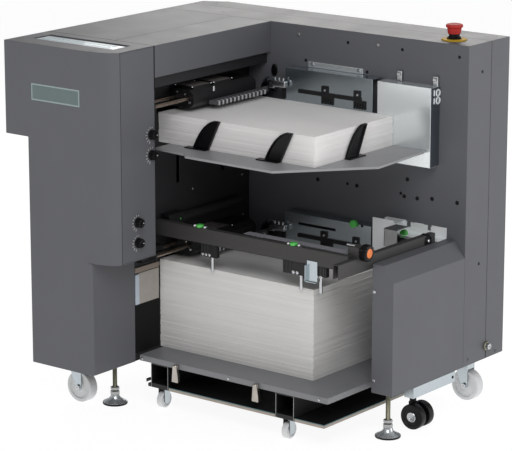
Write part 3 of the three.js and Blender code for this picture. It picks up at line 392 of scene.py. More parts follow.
def spun(profile, steps=48):
    """Spins a half profile of (radius, height) pairs, in millimetres, about the upright axis."""
    piece = begin(bpy.ops.mesh.primitive_circle_add, vertices=len(profile), radius=1, fill_type="NOTHING")
    for vertex, (radius, height) in zip(piece.data.vertices, profile):
        vertex.co = (radius * mm, 0, height * mm)
    open_edit()
    bpy.ops.mesh.spin(steps=steps, angle=2 * math.pi, center=(0, 0, 0), axis=(0, 0, 1))
    bpy.ops.mesh.select_all(action="SELECT")
    bpy.ops.mesh.remove_doubles(threshold=0.01 * mm)
    bpy.ops.mesh.dissolve_degenerate(threshold=0.005 * mm)
    bpy.ops.mesh.delete_loose(use_verts=True, use_edges=True, use_faces=False)
    close_outwards()
    bpy.ops.object.shade_smooth_by_angle(angle=math.radians(35))
    return piece


def stand(piece, place, axis=(0, 0, 1)):
    """Turns a piece's upright axis to another direction and sets its origin down at a place."""
    turn = Vector((0, 0, 1)).rotation_difference(Vector(axis)).to_matrix().to_4x4()
    piece.data.transform(Matrix.Translation(place) @ turn)
    return piece


def foot_of(node):
    """The middle of a node's underside."""
    low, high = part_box(node)
    return Vector(((low.x + high.x) / 2, (low.y + high.y) / 2, low.z))


def middle_of(node):
    low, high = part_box(node)
    return (low + high) / 2


def twin_of(piece):
    """A copy with a mesh of its own."""
    copy = bpy.data.objects.new(piece.name, piece.data.copy())
    bpy.context.scene.collection.objects.link(copy)
    return copy


def discard(*pieces):
    """Removes the shapes that only served to be copied."""
    for piece in pieces:
        bpy.data.objects.remove(piece)


def settle(shapes, name, slot, body="machine", finish=None, stands_for=()):
    """Makes one painted piece of a shape or a list of shapes, tied to its body and its solids."""
    piece, *others = shapes if isinstance(shapes, list) else [shapes]
    if others:
        only(piece)
        for shape in others:
            shape.select_set(True)
        bpy.ops.object.join()
    piece.name = name
    piece.data.name = name
    piece.data.materials.clear()
    piece.data.materials.append(finish or finishes[slot])
    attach(piece, body)
    if stands_for:
        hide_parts(*stands_for)


def fit(name, slot, edge, boxes, body="machine", finish=None):
    """Makes one piece of bars between pairs of corners, in the machine's millimetres."""
    settle([slab(low, high, edge) for low, high in boxes], name, slot, body, finish)


# %% [markdown]
# Real sheet metal has no knife edges: each fold and each cut has a small radius that catches a
# thin line of light. The solids are right in shape, so a merged copy of each one is bevelled and
# stands for it. The bevel stays well under half the sheet's thickness.


# %% Ease the edges of the sheet metal pieces
def merged_copy(node):
    """A copy of a solid whose loose triangles are merged into whole faces."""
    piece = twin_of(frame["nodes"][node])
    only(piece)
    open_edit()
    bpy.ops.mesh.remove_doubles(threshold=0.01 * mm)
    bpy.ops.mesh.dissolve_limited(angle_limit=math.radians(0.5))
    close_edit()
    return piece


cover_radius = 0.9 * mm
sheet_radius = 0.6 * mm
covers = [
    "tower_front_cover", "knob_panel", "left_side_cover", "tower_top_panel", "beam_cover",
    "back_wall_panel", "rear_cover", "right_lower_cover", "lift_table", "upper_tray",
]
sheets = [
    "feed_wall", "base_frame", "upper_guide_plate", "lower_guide_plate", "upper_comb_rail",
    "lower_comb_rail", "upper_guide_box", "lower_guide_box", "front_bar", "right_bar",
    "pile_stop_left", "pile_stop_right", "cart_rail_left", "cart_rail_right", "cart_base_plate",
    "twin_caster_bracket", "front_caster_fork", "end_caster_fork", "rear_caster_fork",
    "upper_feed_head", "lower_feed_head", "upper_tooth_comb", "lower_tooth_comb", "power_inlet",
]
own_finish = {
    "lift_table": table_coat, "front_bar": bar_coat, "right_bar": bar_coat,
    "upper_guide_box": pale_zinc, "lower_guide_box": white_zinc,
}
for nodes, edge_radius in ((covers, cover_radius), (sheets, sheet_radius)):
    for node in nodes:
        piece = bevelled(merged_copy(node), edge_radius)
        settle(piece, f"{node}_eased", slot_of[node], body_of[node], own_finish.get(node), [node])

# %% [markdown]
# Screws are the small lights of such a machine. One pan head is modelled with its driver recess,
# and copies of it, each with its own mesh, are set down wherever a screw sits in the photograph.


# %% Screws, nuts and dark discs
def pan_head(radius):
    """A pan head with a six-sided recess on the floor at the origin, its radius in millimetres."""
    height = radius * 0.55
    piece = spun([
        (0, 0), (radius, 0), (radius, height * 0.35), (radius * 0.86, height * 0.8),
        (radius * 0.6, height), (0, height),
    ], 24)
    hollow = begin(
        bpy.ops.mesh.primitive_cylinder_add,
        vertices=6, radius=radius * 0.36 * mm, depth=height * mm, location=(0, 0, height * mm),
    )
    only(piece)
    cut = piece.modifiers.new("recess", "BOOLEAN")
    cut.object = hollow
    bpy.ops.object.modifier_apply(modifier=cut.name)
    discard(hollow)
    return piece


def hex_nut(radius, height, bore):
    """A nut on the floor at the origin, in millimetres: six flats, chamfered corners and a bore."""
    piece = begin(
        bpy.ops.mesh.primitive_cylinder_add,
        vertices=6, radius=radius * mm, depth=height * mm, location=(0, 0, height / 2 * mm),
    )
    pick_faces(piece, lambda centre, normal: abs(normal.z) > 0.9)
    bpy.ops.mesh.inset(thickness=(radius - bore) * mm, use_individual=True)
    bpy.ops.mesh.bridge_edge_loops()
    close_edit()
    return bevelled(piece, radius * 0.08 * mm)


def set_down(original, places, axis, name, slot, body="machine", finish=None):
    """Makes one piece of copies of a shape, turned to an axis at places in machine millimetres."""
    copies = [stand(twin_of(original), spot(*place), axis) for place in places]
    settle(copies, name, slot, body, finish)


left, right, front, back, up = (-1, 0, 0), (1, 0, 0), (0, -1, 0), (0, 1, 0), (0, 0, 1)
wall_y = corners("back_wall_panel")[0].y
end_x, rear_y, roof = corners("rear_cover")[1]
cover_front_y = corners("right_lower_cover")[0].y
small_screw = pan_head(3.4)
wide_screw = pan_head(4.6)
wall_screws = [(341, wall_y, 846), (573, wall_y, 845)]
set_down(wide_screw, wall_screws, front, "wall_screws", "bright_steel", finish=dull_steel)
set_down(small_screw, [(end_x, 726, 113), (end_x, 608, 120)], right, "end_screws", "grey_paint")
cover_screws = [(776, cover_front_y, 344), (776, cover_front_y, 135)]
set_down(wide_screw, cover_screws, front, "lower_cover_screws", "bright_steel")

# Painted shade: dark discs stand in the wall's open holes, whose insides lie in shadow.
dark_disc = spun([(0, 0), (3.8, 0), (3.6, 0.6), (2.8, 0.9), (2.4, 0.4), (0, 0.4)], 24)
wide_dark_disc = spun([(0, 0), (5, 0), (4.8, 0.7), (3.4, 1), (2.8, 0.4), (0, 0.4)], 24)
hole_places = [(486, 841), (642, 841), (801, 841), (488, 500), (643, 499)]
wide_hole_places = [(400, 498), (516, 499), (661.5, 535), (653, 493), (690, 493), (732, 498), (802, 499)]
set_down(dark_disc, [(x, wall_y, z) for x, z in hole_places], front, "wall_hole_shades", "black_plastic")
set_down(wide_dark_disc, [(x, wall_y, z) for x, z in wide_hole_places], front, "wide_wall_hole_shades", "black_plastic")
set_down(dark_disc, [(end_x, 644, 802), (end_x, 646, 345)], right, "end_plugs", "black_plastic")

# %% [markdown]
# The two piles are reams laid on each other by hand, so they are never quite flush. Each pile
# grows from one sheet: its top is extruded by a ream at a time and slid by a fraction of a
# millimetre, which leaves the small ledges that show as lines along the pile's sides.


# %% Paper piles
def pile(node, name, reams, slip, seed, finish):
    """Fills a node's box with reams, each slid by no more than slip, in metres."""
    low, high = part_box(node)
    size = high - low
    chance = random.Random(seed)
    piece = begin(bpy.ops.mesh.primitive_plane_add, size=1)
    weights = [chance.uniform(0.5, 1.5) for _ in range(reams)]
    open_edit()
    bpy.ops.transform.resize(value=(size.x - 2 * slip, size.y - 2 * slip, 1))
    was = Vector((0, 0))
    for weight in weights[:-1]:
        pull((0, 0, size.z * weight / sum(weights)))
        new = Vector((chance.uniform(-slip, slip), chance.uniform(-slip, slip)))
        pull((*(new - was), 0))
        was = new
    pull((0, 0, size.z * weights[-1] / sum(weights)))
    close_outwards()
    settle(stand(piece, foot_of(node)), name, "paper_white", body_of[node], finish, [node])


pile("upper_stack", "upper_pile", 18, 0.6 * mm, 4, upper_paper)
pile("lower_stack", "lower_pile", 44, 0.7 * mm, 9, lower_paper)

# %% [markdown]
# The air knobs are small turned shapes with finger grooves. The groove is a ripple in the radius
# that follows the angle, so its vertices are moved by one line of trigonometry after the spin.


# %% Air knobs and their printed scales
def rippled(piece, count, depth, inner_radius, low, high):
    """Draws the radius in and out around the upright axis between two heights, in millimetres."""
    for vertex in piece.data.vertices:
        radius = math.hypot(vertex.co.x, vertex.co.y)
        if radius > inner_radius * mm and low * mm <= vertex.co.z <= high * mm:
            turn = math.atan2(vertex.co.y, vertex.co.x)
            share = 1 - depth * mm / radius * (0.5 + 0.5 * math.cos(count * turn))
            vertex.co.x *= share
            vertex.co.y *= share


def inner_end(node, length):
    """Where a turned piece that ends at a node's right side begins; its length is in millimetres."""
    place = middle_of(node)
    place.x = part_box(node)[1].x - length * mm
    return place


knob_height = 14
knob = spun([
    (0, -9), (3, -9), (3, 0), (12, 0), (12, 2), (11, 3), (11, 12), (10, 13.6),
    (8.6, knob_height), (7.4, 13.2), (0, 13.2),
], 96)
rippled(knob, 12, 1.3, 9, 2.5, knob_height)
panel_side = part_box("knob_panel")[1].x
facing_right = Matrix(((0, 0, 1, 0), (1, 0, 0, 0), (0, 1, 0, 0), (0, 0, 0, 1)))
tick_inner = 15
tick_count = 8
ticks = []
for number in range(1, 5):
    node, body = f"air_knob_{number}", f"knob_{number}"
    seat = inner_end(node, knob_height)
    settle(stand(twin_of(knob), seat, right), f"{node}_grip", "black_plastic", body, stands_for=[node])
    pointer = bar((-0.7, 3, 12.8), (0.7, 7, 13.7), 0.1)
    settle(stand(pointer, seat, right), f"{node}_pointer", "white_nylon", body)
    for tick in range(tick_count):
        share = tick / (tick_count - 1)
        stroke = bar((tick_inner, -0.6, 0), (tick_inner + 3 + 3.4 * share, 0.6, 0.2), 0.05)
        stroke.data.transform(Matrix.Rotation(math.radians(80 + 170 * share), 4, "Z"))
        stroke.data.transform(Matrix.Translation((panel_side, seat.y, seat.z)) @ facing_right)
        ticks.append(stroke)
settle(ticks, "knob_scales", "white_nylon")

# %% [markdown]
# The emergency stop has to be seen from afar: a yellow plate, a dark collar and a red mushroom
# head that is dished on top so that a palm finds it. The head's hollow skirt reaches down around
# the collar's narrow end.

# %% Emergency stop
stop_seat = foot_of("estop_ring")
stop_plate = spun([(8.4, 0), (30, 0), (30, 2.2), (29, 3), (8.4, 3)], 72)
settle(stand(stop_plate, stop_seat), "stop_plate", "yellow_plastic", stands_for=["estop_ring"])
stop_collar = spun([
    (8.4, 3), (17, 3), (17, 6), (15.6, 7), (15.6, 9.6), (13, 10), (13, 14.6), (12.6, 15), (8.4, 15),
], 72)
settle(stand(stop_collar, stop_seat), "stop_collar", "black_plastic")
mushroom = spun([
    (0, 5), (8, 5), (8, 20), (13.6, 20), (13.6, 15), (15, 15), (15.6, 18), (16.6, 28), (19.2, 29.8),
    (20, 31.2), (20, 34), (19, 36.2), (16.4, 37.3), (12, 37), (6, 36.2), (0, 36),
], 72)
settle(stand(mushroom, stop_seat), "stop_mushroom", "red_plastic", "estop", stands_for=["estop_button"])

# %% [markdown]
# The clamp knob at the corner of the guide frame has deep lobes and an orange cap. The green
# thumb knobs on the front bar are flat and knurled, and small nuts stand on both sides of them.

# %% Clamp knob and thumb knobs
clamp_length = 20
clamp_seat = inner_end("frame_knob", clamp_length)
lobed = spun([
    (0, -8), (3, -8), (3, 0), (15, 0), (19, 2), (20, 5), (20, 15), (19, 18),
    (15, clamp_length), (11.6, clamp_length), (11.2, 18.6), (0, 18.6),
], 128)
rippled(lobed, 16, 1.8, 14, 1, 19)
lobed_knob = stand(lobed, clamp_seat, right)
settle(lobed_knob, "clamp_knob", "black_plastic", "frame_clamp", stands_for=["frame_knob"])
orange_cap = stand(spun([(0, 18.4), (11, 18.4), (11, 19), (9.6, 19.8), (0, 19.9)]), clamp_seat, right)
settle(orange_cap, "clamp_knob_cap", "yellow_plastic", "frame_clamp", orange_moulding)

thumb_height = 6
thumb = spun([
    (0, -8), (3, -8), (3, 0), (8.4, 0), (9, 0.8), (9, 4.6), (8, thumb_height), (4, thumb_height),
    (3.4, 5.4), (0, 5.4),
], 96)
rippled(thumb, 24, 0.5, 7.5, 0, thumb_height)
bar_nut = hex_nut(5.5, 4.5, 2)
nut_reach = Vector((15, 0, 0)) * mm
nuts = []
for side in ("left", "right"):
    node = f"thumb_knob_{side}"
    seat = foot_of(node)
    seat.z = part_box(node)[1].z - thumb_height * mm
    grip = stand(twin_of(thumb), seat)
    settle(grip, f"thumb_grip_{side}", "green_plastic", f"thumb_{side}", stands_for=[node])
    nuts += [seat + nut_reach * way for way in (-1, 1)]
settle([stand(twin_of(bar_nut), place) for place in nuts], "front_bar_nuts", "bright_steel")
discard(knob, thumb, bar_nut)

# %% [markdown]
# A caster wheel is a turned ring: hub, thin web and a crowned rim. The same few numbers, with
# other values, give the big white wheels, the small ones of the cart and the black twin wheels.


# %% Wheels
def wheel_ring(radius, half_width, bore, hub, web_half, rim, edge):
    """A wheel about the upright axis, in millimetres; its lower half mirrors its upper half."""
    upper = [
        (bore, half_width), (hub, half_width), (hub + edge, web_half), (rim - edge, web_half),
        (rim, half_width), (radius - edge, half_width), (radius - edge * 0.3, half_width - edge * 0.5),
        (radius, half_width - edge * 1.6),
    ]
    return spun([(out, -height) for out, height in upper] + upper[::-1], 72)


def on_both_sides(shape, hub, reach):
    """Two copies of a shape that face away from a hub, before and behind it by a reach in millimetres."""
    return [stand(twin_of(shape), hub + Vector(way) * reach * mm, way) for way in (front, back)]


white_wheel = wheel_ring(37.5, 12.5, 3.3, 12, 9.5, 29, 2)
axle_bolt = hex_nut(7, 4, 2)
for corner in ("front", "end", "rear"):
    node = f"{corner}_caster_wheel"
    hub = middle_of(node)
    ring = stand(twin_of(white_wheel), hub, front)
    settle(ring, f"{corner}_wheel_ring", "white_nylon", f"{corner}_wheel", stands_for=[node])
    settle(on_both_sides(axle_bolt, hub, 15.8), f"{corner}_axle_nuts", "bright_steel", f"{corner}_swivel")

cart_wheel = wheel_ring(20, 7, 3.3, 7, 5, 15, 1.2)
rear_low, rear_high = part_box("cart_rear_axle")
rear_hub = middle_of("cart_rear_axle")
rear_places = []
for side in ("left", "right"):
    node, body = f"cart_wheel_{side}", f"cart_roller_{side}"
    hub = middle_of(node)
    settle(stand(twin_of(cart_wheel), hub, right), f"{body}_ring", "white_nylon", body, stands_for=[node])
    rear_places.append(Vector((hub.x, rear_hub.y, rear_hub.z)))
rear_rings = [stand(twin_of(cart_wheel), place, right) for place in rear_places]
settle(rear_rings, "cart_rear_rings", "white_nylon", "cart_rear_rollers", stands_for=["cart_rear_axle"])
axle_half = (rear_high.x - rear_low.x) / 2 / mm
axle_rod = spun([
    (0, -axle_half), (2.4, -axle_half), (3.3, 1 - axle_half),
    (3.3, axle_half - 1), (2.4, axle_half), (0, axle_half),
], 32)
settle(stand(axle_rod, rear_hub, right), "cart_rear_axle_rod", "bright_steel", "cart_rear_rollers")

twin_hub = middle_of("twin_caster_wheels")
twin_half = 9
twin_offset = 16.3
black_wheel = wheel_ring(30, twin_half, 3, 11, 7.4, 22, 1.6)
tyres = on_both_sides(black_wheel, twin_hub, twin_offset)
settle(tyres, "twin_tyres", "black_rubber", "twin_wheels", stands_for=["twin_caster_wheels"])
hub_cap = spun([(0, -2), (12, -2), (12, 0.4), (10.8, 1.4), (5.4, 1.4), (4.6, 0.4), (0, 0.4)])
caps = on_both_sides(hub_cap, twin_hub, twin_offset + twin_half)
twin_axle = stand(spun([(0, -9), (3, -9), (3, 9), (0, 9)], 24), twin_hub, back)
settle([*caps, twin_axle], "twin_hub_caps", "bright_steel", "twin_wheels")
discard(white_wheel, axle_bolt, cart_wheel, black_wheel, hub_cap)

# %% [markdown]
# A levelling foot is screwed down until the machine stands level: a coned plate on a rubber ring,
# two nuts and a threaded rod. The thread is modelled as rings, one for each turn.

# %% Levelling feet
rod_zinc = drawn_metal("rod_zinc", (168, 166, 146), (134, 132, 112), 0.34)
foot_rod = 5.6
thread_pitch = 1.75
thread_core = 5
cone_height = 22
for side in ("left", "right"):
    node, body = f"levelling_foot_{side}", f"foot_{side}"
    seat = foot_of(node)
    rod_top = (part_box(node)[1].z - seat.z) / mm
    cone = spun([
        (0, 4), (28.6, 4), (29, 5.2), (26, 7), (18, 10.5), (13, 15), (11, 20),
        (10.4, cone_height), (0, cone_height),
    ], 72)
    settle(stand(cone, seat), f"foot_cone_{side}", "bright_steel", body, foot_steel, [node])
    pad = spun([(0, 0), (29.4, 0), (30, 1.2), (29.6, 4), (0, 4)], 72)
    settle(stand(pad, seat), f"foot_pad_{side}", "black_rubber", body)
    upper_nut = stand(hex_nut(11, 7, foot_rod), seat + Vector((0, 0, 34)) * mm)
    lower_nut = stand(hex_nut(11.4, 9, foot_rod), seat + Vector((0, 0, cone_height)) * mm)
    settle([upper_nut, lower_nut], f"foot_nuts_{side}", "bright_steel", body, dull_steel)
    turns = int((rod_top - cone_height) / thread_pitch)
    ridge = [(0, cone_height)]
    for turn in range(turns):
        foot = cone_height + turn * thread_pitch
        ridge += [(thread_core, foot), (foot_rod, foot + thread_pitch / 2)]
    ridge += [(thread_core, rod_top), (0, rod_top)]
    settle(stand(spun(ridge, 24), seat), f"foot_thread_{side}", "bright_steel", body, rod_zinc)
print("thread turns", turns)

# %% [markdown]
# The fins that keep the upper pile together are moulded dishes: a rim runs around a thin middle,
# which makes them stiff. The flat solid's face is drawn out, inset and pushed back.

# %% Tray fins
fin_rise = 5 * mm
fin_rim = 3.2 * mm
fin_hollow = 4 * mm


def fin(node, way):
    """Makes a dish of a fin's face above its foot, on the side that a direction gives."""
    piece = merged_copy(node)
    low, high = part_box(node)
    foot_top = low.z + (high.z - low.z) / 4
    out = Vector(way)
    pick_faces(piece, lambda centre, normal: normal.dot(out) > 0.99 and centre.z > foot_top)
    pull(out * fin_rise)
    bpy.ops.mesh.inset(thickness=fin_rim)
    pull(out * -fin_hollow)
    close_edit()
    dish = bevelled(piece, sheet_radius)
    settle(dish, f"{node}_dish", "black_plastic", body_of[node], stands_for=[node])


fin("side_fin_1", front)
fin("side_fin_2", front)
fin("side_fin_3", right)

# %% [markdown]
# The front carries one bare plate in a light border, and the top has a shallow console under a
# pale foil with soft keys. Both are thin pieces laid on the cover: the foil fills the recess but
# for a margin, and its keys are raised by half a millimetre.

# %% Bare plate and console
foil_white = moulded("console_foil", (214, 222, 228), (190, 204, 214), 0.3, coat=0.4, grain=300)
key_teal = moulded("console_keys", (186, 208, 214), (164, 192, 200), 0.34, grain=300)
plate_green = moulded("bare_plate", (106, 121, 121), (96, 110, 111), 0.4, grain=500)
border_green = moulded("plate_border", (158, 174, 174), (146, 162, 163), 0.4, grain=500)

border = [((13.5, -0.3, 738), (161, 0.2, 777))]
fit("front_plate_border", "galvanised", 0.1, border, finish=border_green)
plate = [((16.7, -0.4, 741.2), (157.8, 0.1, 773.8))]
fit("front_plate", "galvanised", 0.05, plate, finish=plate_green)

foil_low = Vector((-29, 60, 866))
foil_high = Vector((212, 109, 866.8))
fit("console_foil", "white_nylon", 0.3, [(foil_low, foil_high)], finish=foil_white)
key_size = Vector((9, 9, 0.5))
keys = []
for column in range(14):
    for row in range(2):
        key_low = Vector((-16 + 15 * column, 71 + 22 * row, foil_high.z))
        keys.append((key_low, key_low + key_size))
fit("console_keys", "galvanised", 0.2, keys, finish=key_teal)

# %% [markdown]
# Between the covers run dark seams, painted as shade: each seam is a thin black strip that stands
# a hair proud of the paint where the gap lies in shadow. The two corners of each strip are in millimetres.

# %% Seams between the covers
proud = 0.12
side_x = corners("knob_panel")[1].x
wing_x = -overhang
# Painted shade: black strips over the seams between the covers.
fit("seam_shadow_strips", "black_rubber", 0.05, [
    ((side_x - 2, 149.4, 767), (side_x + proud, 153.4, roof + proud)),
    ((side_x - 1, 32, 376), (side_x + proud, 33.4, roof)),
    ((wing_x, 150.4, roof - 1), (side_x, 151.8, roof + proud)),
    ((137, 151, roof - 1), (138.4, wall_y, roof + proud)),
    ((wing_x, 586.2, roof - 1), (side_x, 587.4, roof + proud)),
    ((wing_x, 681.2, roof - 1), (end_x + proud, 682.4, roof + proud)),
    ((end_x - 1, 681.2, 105), (end_x + proud, 682.4, roof)),
    ((side_x - 2, 149.8, 376), (side_x - 0.4, 151.2, 767)),
])
# Painted shade: dark strips where the slots in the top lie in shadow.
fit("top_slot_shadows", "black_rubber", 0.2, [
    ((-21, 713, 868.5), (-15, 715, 869.3)), ((-21, 719, 868.5), (-15, 721, 869.3)),
    ((72, 628, 868.5), (76, 632, 869.3)),
])
# Painted shade: a dark sheet lines the beam's recessed lower band, which lies in shadow.
fit("beam_recess_shade", "dark_paint", 0.1, [((243, 151.4, 767.4), (244.4, 586.6, 793.6))])
# Painted shade: dark sheets inside the housing, only there to keep the vents dark.
vent_shade_boxes = [((150, 160, 125), (151.5, 580, 860)), ((-40, 716, 125), (815, 717.5, 860))]
fit("vent_shade_sheets", "dark_paint", 0.3, vent_shade_boxes)

# %% [markdown]
# Flat forms, such as levers, brackets and latches, start as an outline: the vertices of a filled
# circle are moved to the outline's points, and the face is pulled out by the plate's thickness.


# %% Plates from outlines
def cut_plate(points, thickness, edge, place, across=right):
    """A plate whose outline runs across and up from a place, all in millimetres."""
    piece = begin(bpy.ops.mesh.primitive_circle_add, vertices=len(points), radius=1, fill_type="NGON")
    for vertex, (along, rise) in zip(piece.data.vertices, points):
        vertex.co = (along * mm, rise * mm, 0)
    open_edit()
    pull((0, 0, thickness * mm))
    close_outwards()
    bevelled(piece, edge * mm)
    x, y = Vector(across), Vector(up)
    turn = Matrix((x, y, x.cross(y))).transposed().to_4x4()
    piece.data.transform(Matrix.Translation(spot(*place)) @ turn)
    return piece


def arc(radius, start, end, steps, centre=(0, 0)):
    """Points on part of a circle, its angles in degrees."""
    turns = [math.radians(start + (end - start) * step / steps) for step in range(steps + 1)]
    return [(centre[0] + radius * math.cos(turn), centre[1] + radius * math.sin(turn)) for turn in turns]


def rod(radius, length, place, axis):
    """A rod with chamfered ends that stands on a place, all in millimetres."""
    edge = 0.4
    section = [
        (0, 0), (radius - edge, 0), (radius, edge), (radius, length - edge),
        (radius - edge, length), (0, length),
    ]
    return stand(spun(section, 32), spot(*place), axis)


# %% [markdown]
# The dark wall carries a few screws, a lamp and the plates beside the lower pile: a beige bar, a
# white guide with a bluish edge strip, and the black cover under it.

# %% Fittings on the feed wall
wall_x = 188
feed_screws = [(wall_x, 369.3, 484.7), (wall_x, 560.4, 485.6), (wall_x, 563, 384.7)]
set_down(small_screw, feed_screws, right, "feed_wall_screws", "bright_steel")
fit("duct_bracket", "black_steel", 1.2, [((wall_x, 250, 404), (215, 306, 446))])
lamp_lens = spun([(0, -1), (2, -1), (2, 0.6), (1.2, 1.2), (0, 1.4)], 24)
settle(stand(lamp_lens, spot(215, 291.5, 430), right), "duct_lamp", "green_plastic")
beige = moulded("beige_bar", (150, 138, 126), (132, 120, 109), 0.4)
guide_white = moulded("guide_plate_white", (178, 172, 165), (158, 151, 144), 0.4)
guide_blue = moulded("guide_plate_blue", (196, 206, 218), (180, 190, 204), 0.35, coat=0.3)
wall_black = moulded("wall_black", (15, 15, 16), (10, 10, 11), 0.5, specular=0.2)
for name, slot, finish, edge, low, high in (
    ("beige_guide_bar", "comb_plastic", beige, 0.8, (wall_x, 152, 320), (192, 238, 333)),
    ("white_guide", "comb_plastic", guide_white, 0.8, (wall_x, 166, 243), (191, 238, 318)),
    ("blue_guide", "comb_plastic", guide_blue, 0.8, (wall_x, 153, 243), (192, 166, 316)),
    ("lower_wall_cover", "black_plastic", wall_black, 0.6, (wall_x, 152, 124), (190, 240, 241)),
):
    fit(name, slot, edge, [(low, high)], finish=finish)
fit("left_guide_rails", "black_steel", 0.8, [
    ((wall_x, 153, 368), (214, 228, 380)), ((wall_x, 160, 345), (206, 240, 362)),
    ((206, 160, 345), (208, 240, 348)),
])

# %% [markdown]
# Each feed head slides on two brownish polished rods. Silver screws hold its plates, and a steel
# clamp with a black ring grips the comb's end. The same fittings stand over both piles.


# %% Feed heads and comb clamps
brown_rod = drawn_metal("feed_rod_metal", (176, 160, 146), (120, 104, 94), 0.18)
head_plate = drawn_metal("head_plate", (150, 142, 138), (112, 106, 104), 0.36, 0.4)
tooth_grey = moulded("comb_teeth", (196, 197, 199), (170, 171, 174), 0.34)
tooth_count = 13
tooth_pitch = 189 / tooth_count


def feed_head_fittings(level, pile_top, plate_top, top_skins):
    """Rods, skins, screws, teeth and the clamp over one pile; most heights start at the pile's top."""
    rods = [rod(5, 128, (x, 156, pile_top + 34), back) for x in (205.3, 247.3)]
    settle(rods, f"{level}_feed_rods", "bright_steel", finish=brown_rod)
    skins = [((195, y, z), (250.4, y + reach, z + 0.5)) for y, reach, z in top_skins]
    fit(f"{level}_head_skins", "black_steel", 0.2, skins, finish=head_plate)
    heads = [(200, 292), (252, 292), (252, 362), (200, 362), (252, 372), (252, 440)]
    places = [(x, y, pile_top + plate_top) for x, y in heads]
    set_down(small_screw, places, up, f"{level}_head_screws", "bright_steel")
    places = [(x, 285, pile_top + z) for x, z in ((212, 46), (236, 42), (212, 20), (250, 24))]
    set_down(small_screw, places, front, f"{level}_head_front_screws", "bright_steel")
    middles = [341.3 + (tooth + 0.5) * tooth_pitch for tooth in range(tooth_count)]
    tips = [((281, y - 2.7, pile_top + 12.8), (289, y + 2.7, pile_top + 23.3)) for y in middles]
    fit(f"{level}_comb_tips", "comb_plastic", 0.6, tips, finish=tooth_grey)
    settle(rod(3.4, 12, (268, 352, pile_top + 44), up), f"{level}_head_post", "bright_steel")
    ring = spun([(9, -9), (13.4, -9), (15, -7), (15, 7), (13.4, 9), (9, 9)])
    lever_outline = [(-9, 0), (9, 0), (5, -16), (0, -26), (-5, -16)]
    lever = cut_plate(lever_outline, 5, 0.8, (267, 553, pile_top + 18))
    ring_place = spot(271, 556, pile_top + 24)
    settle([stand(ring, ring_place, back), lever], f"{level}_clamp_ring", "black_plastic")
    shell = slab((300, 533, pile_top + 31), (340, 547, pile_top + 47), 3)
    jaw = slab((286, 538, pile_top + 26), (304, 546, pile_top + 40), 2)
    settle([shell, jaw], f"{level}_clamp", "bright_steel")
    bolts = [rod(3, 8, (x, 540, pile_top + 46), up) for x in (306, 318, 330)]
    settle(bolts, f"{level}_clamp_bolts", "bright_steel")
    strap_outline = arc(26, 160, 30, 10) + arc(23, 30, 160, 10)
    strap = cut_plate(strap_outline, 12, 0.5, (284, 560, pile_top + 26))
    settle(strap, f"{level}_clamp_strap", "galvanised")
    tab = [((321, 546.6, pile_top + 4), (331, 548.6, pile_top + 32))]
    fit(f"{level}_clamp_tab", "black_steel", 0.5, tab)


pile_tops = {level: corners(f"{level}_stack")[1].z for level in ("upper", "lower")}
upper_skins = [(299.5, 61.6, 751), (377.5, 61.6, 751)]
lower_skins = [(285.3 + start + 14 * slat, 10, 393) for start in (22, 92) for slat in range(4)]
feed_head_fittings("upper", pile_tops["upper"], 60, upper_skins)
feed_head_fittings("lower", pile_tops["lower"], 54, lower_skins)
arch_outline = [(x * 0.55, z) for x, z in arc(15, 0, 360, 24)[:-1]]
settle(cut_plate(arch_outline, 5, 1, (269, wall_y, 751)), "upper_wall_arch", "black_plastic")

# %% [markdown]
# The guide plates have small signs of how they are put together: screws on the grille brackets, a
# strip along the wall, green thumb screws below, latches and ring screws by the box.

# %% Guide plates and boxes
for level, pile_top in pile_tops.items():
    places = [(450, 545, pile_top + 38), (545, 545, pile_top + 38)]
    set_down(small_screw, places, front, f"{level}_grille_screws", "bright_steel")
plate_zinc = galvanised_sheet("plate_zinc", (172, 180, 184), (148, 158, 163), 0.14)
plate_face = [((329.4, 549.02, 625.4), (584.6, 549.26, 769.6))]
fit("upper_plate_face", "galvanised", 0.05, plate_face, finish=plate_zinc)
# Painted shade: a darker zinc sheet on the box's right side makes that one face darker than the rest.
shaded_side_zinc = galvanised_sheet("shaded_side_zinc", (134, 142, 150), (114, 122, 130), 0.3)
low, high = corners("upper_guide_box")
shaded_side_face = [((high.x + 0.02, low.y + 2, low.z + 1), (high.x + 0.2, high.y - 0.5, high.z - 1))]
fit("upper_box_shaded_side", "galvanised", 0.05, shaded_side_face, finish=shaded_side_zinc)
wall_strip = [((372, 583, 770.5), (532, wall_y, 784))]
fit("upper_wall_strip", "galvanised", 0.6, wall_strip, finish=pale_zinc)
strip_screws = [(385, 583, 779), (521, 583, 779)]
set_down(wide_screw, strip_screws, front, "upper_strip_screws", "bright_steel")
strip_plugs = [(362, wall_y, 785), (542, wall_y, 777)]
set_down(dark_disc, strip_plugs, front, "upper_strip_plugs", "black_plastic")
green_screw = spun([(0, -3), (4, -3), (4, 0), (8.8, 0), (9.4, 1), (9.4, 9), (8.4, 10), (0, 10)], 96)
rippled(green_screw, 24, 0.5, 8, 0, 11)
set_down(green_screw, [(538, 549, 417)], front, "slot_thumb_screw", "green_plastic")
set_down(green_screw, [(676, 560, 413)], front, "shelf_thumb_screw", "green_plastic")
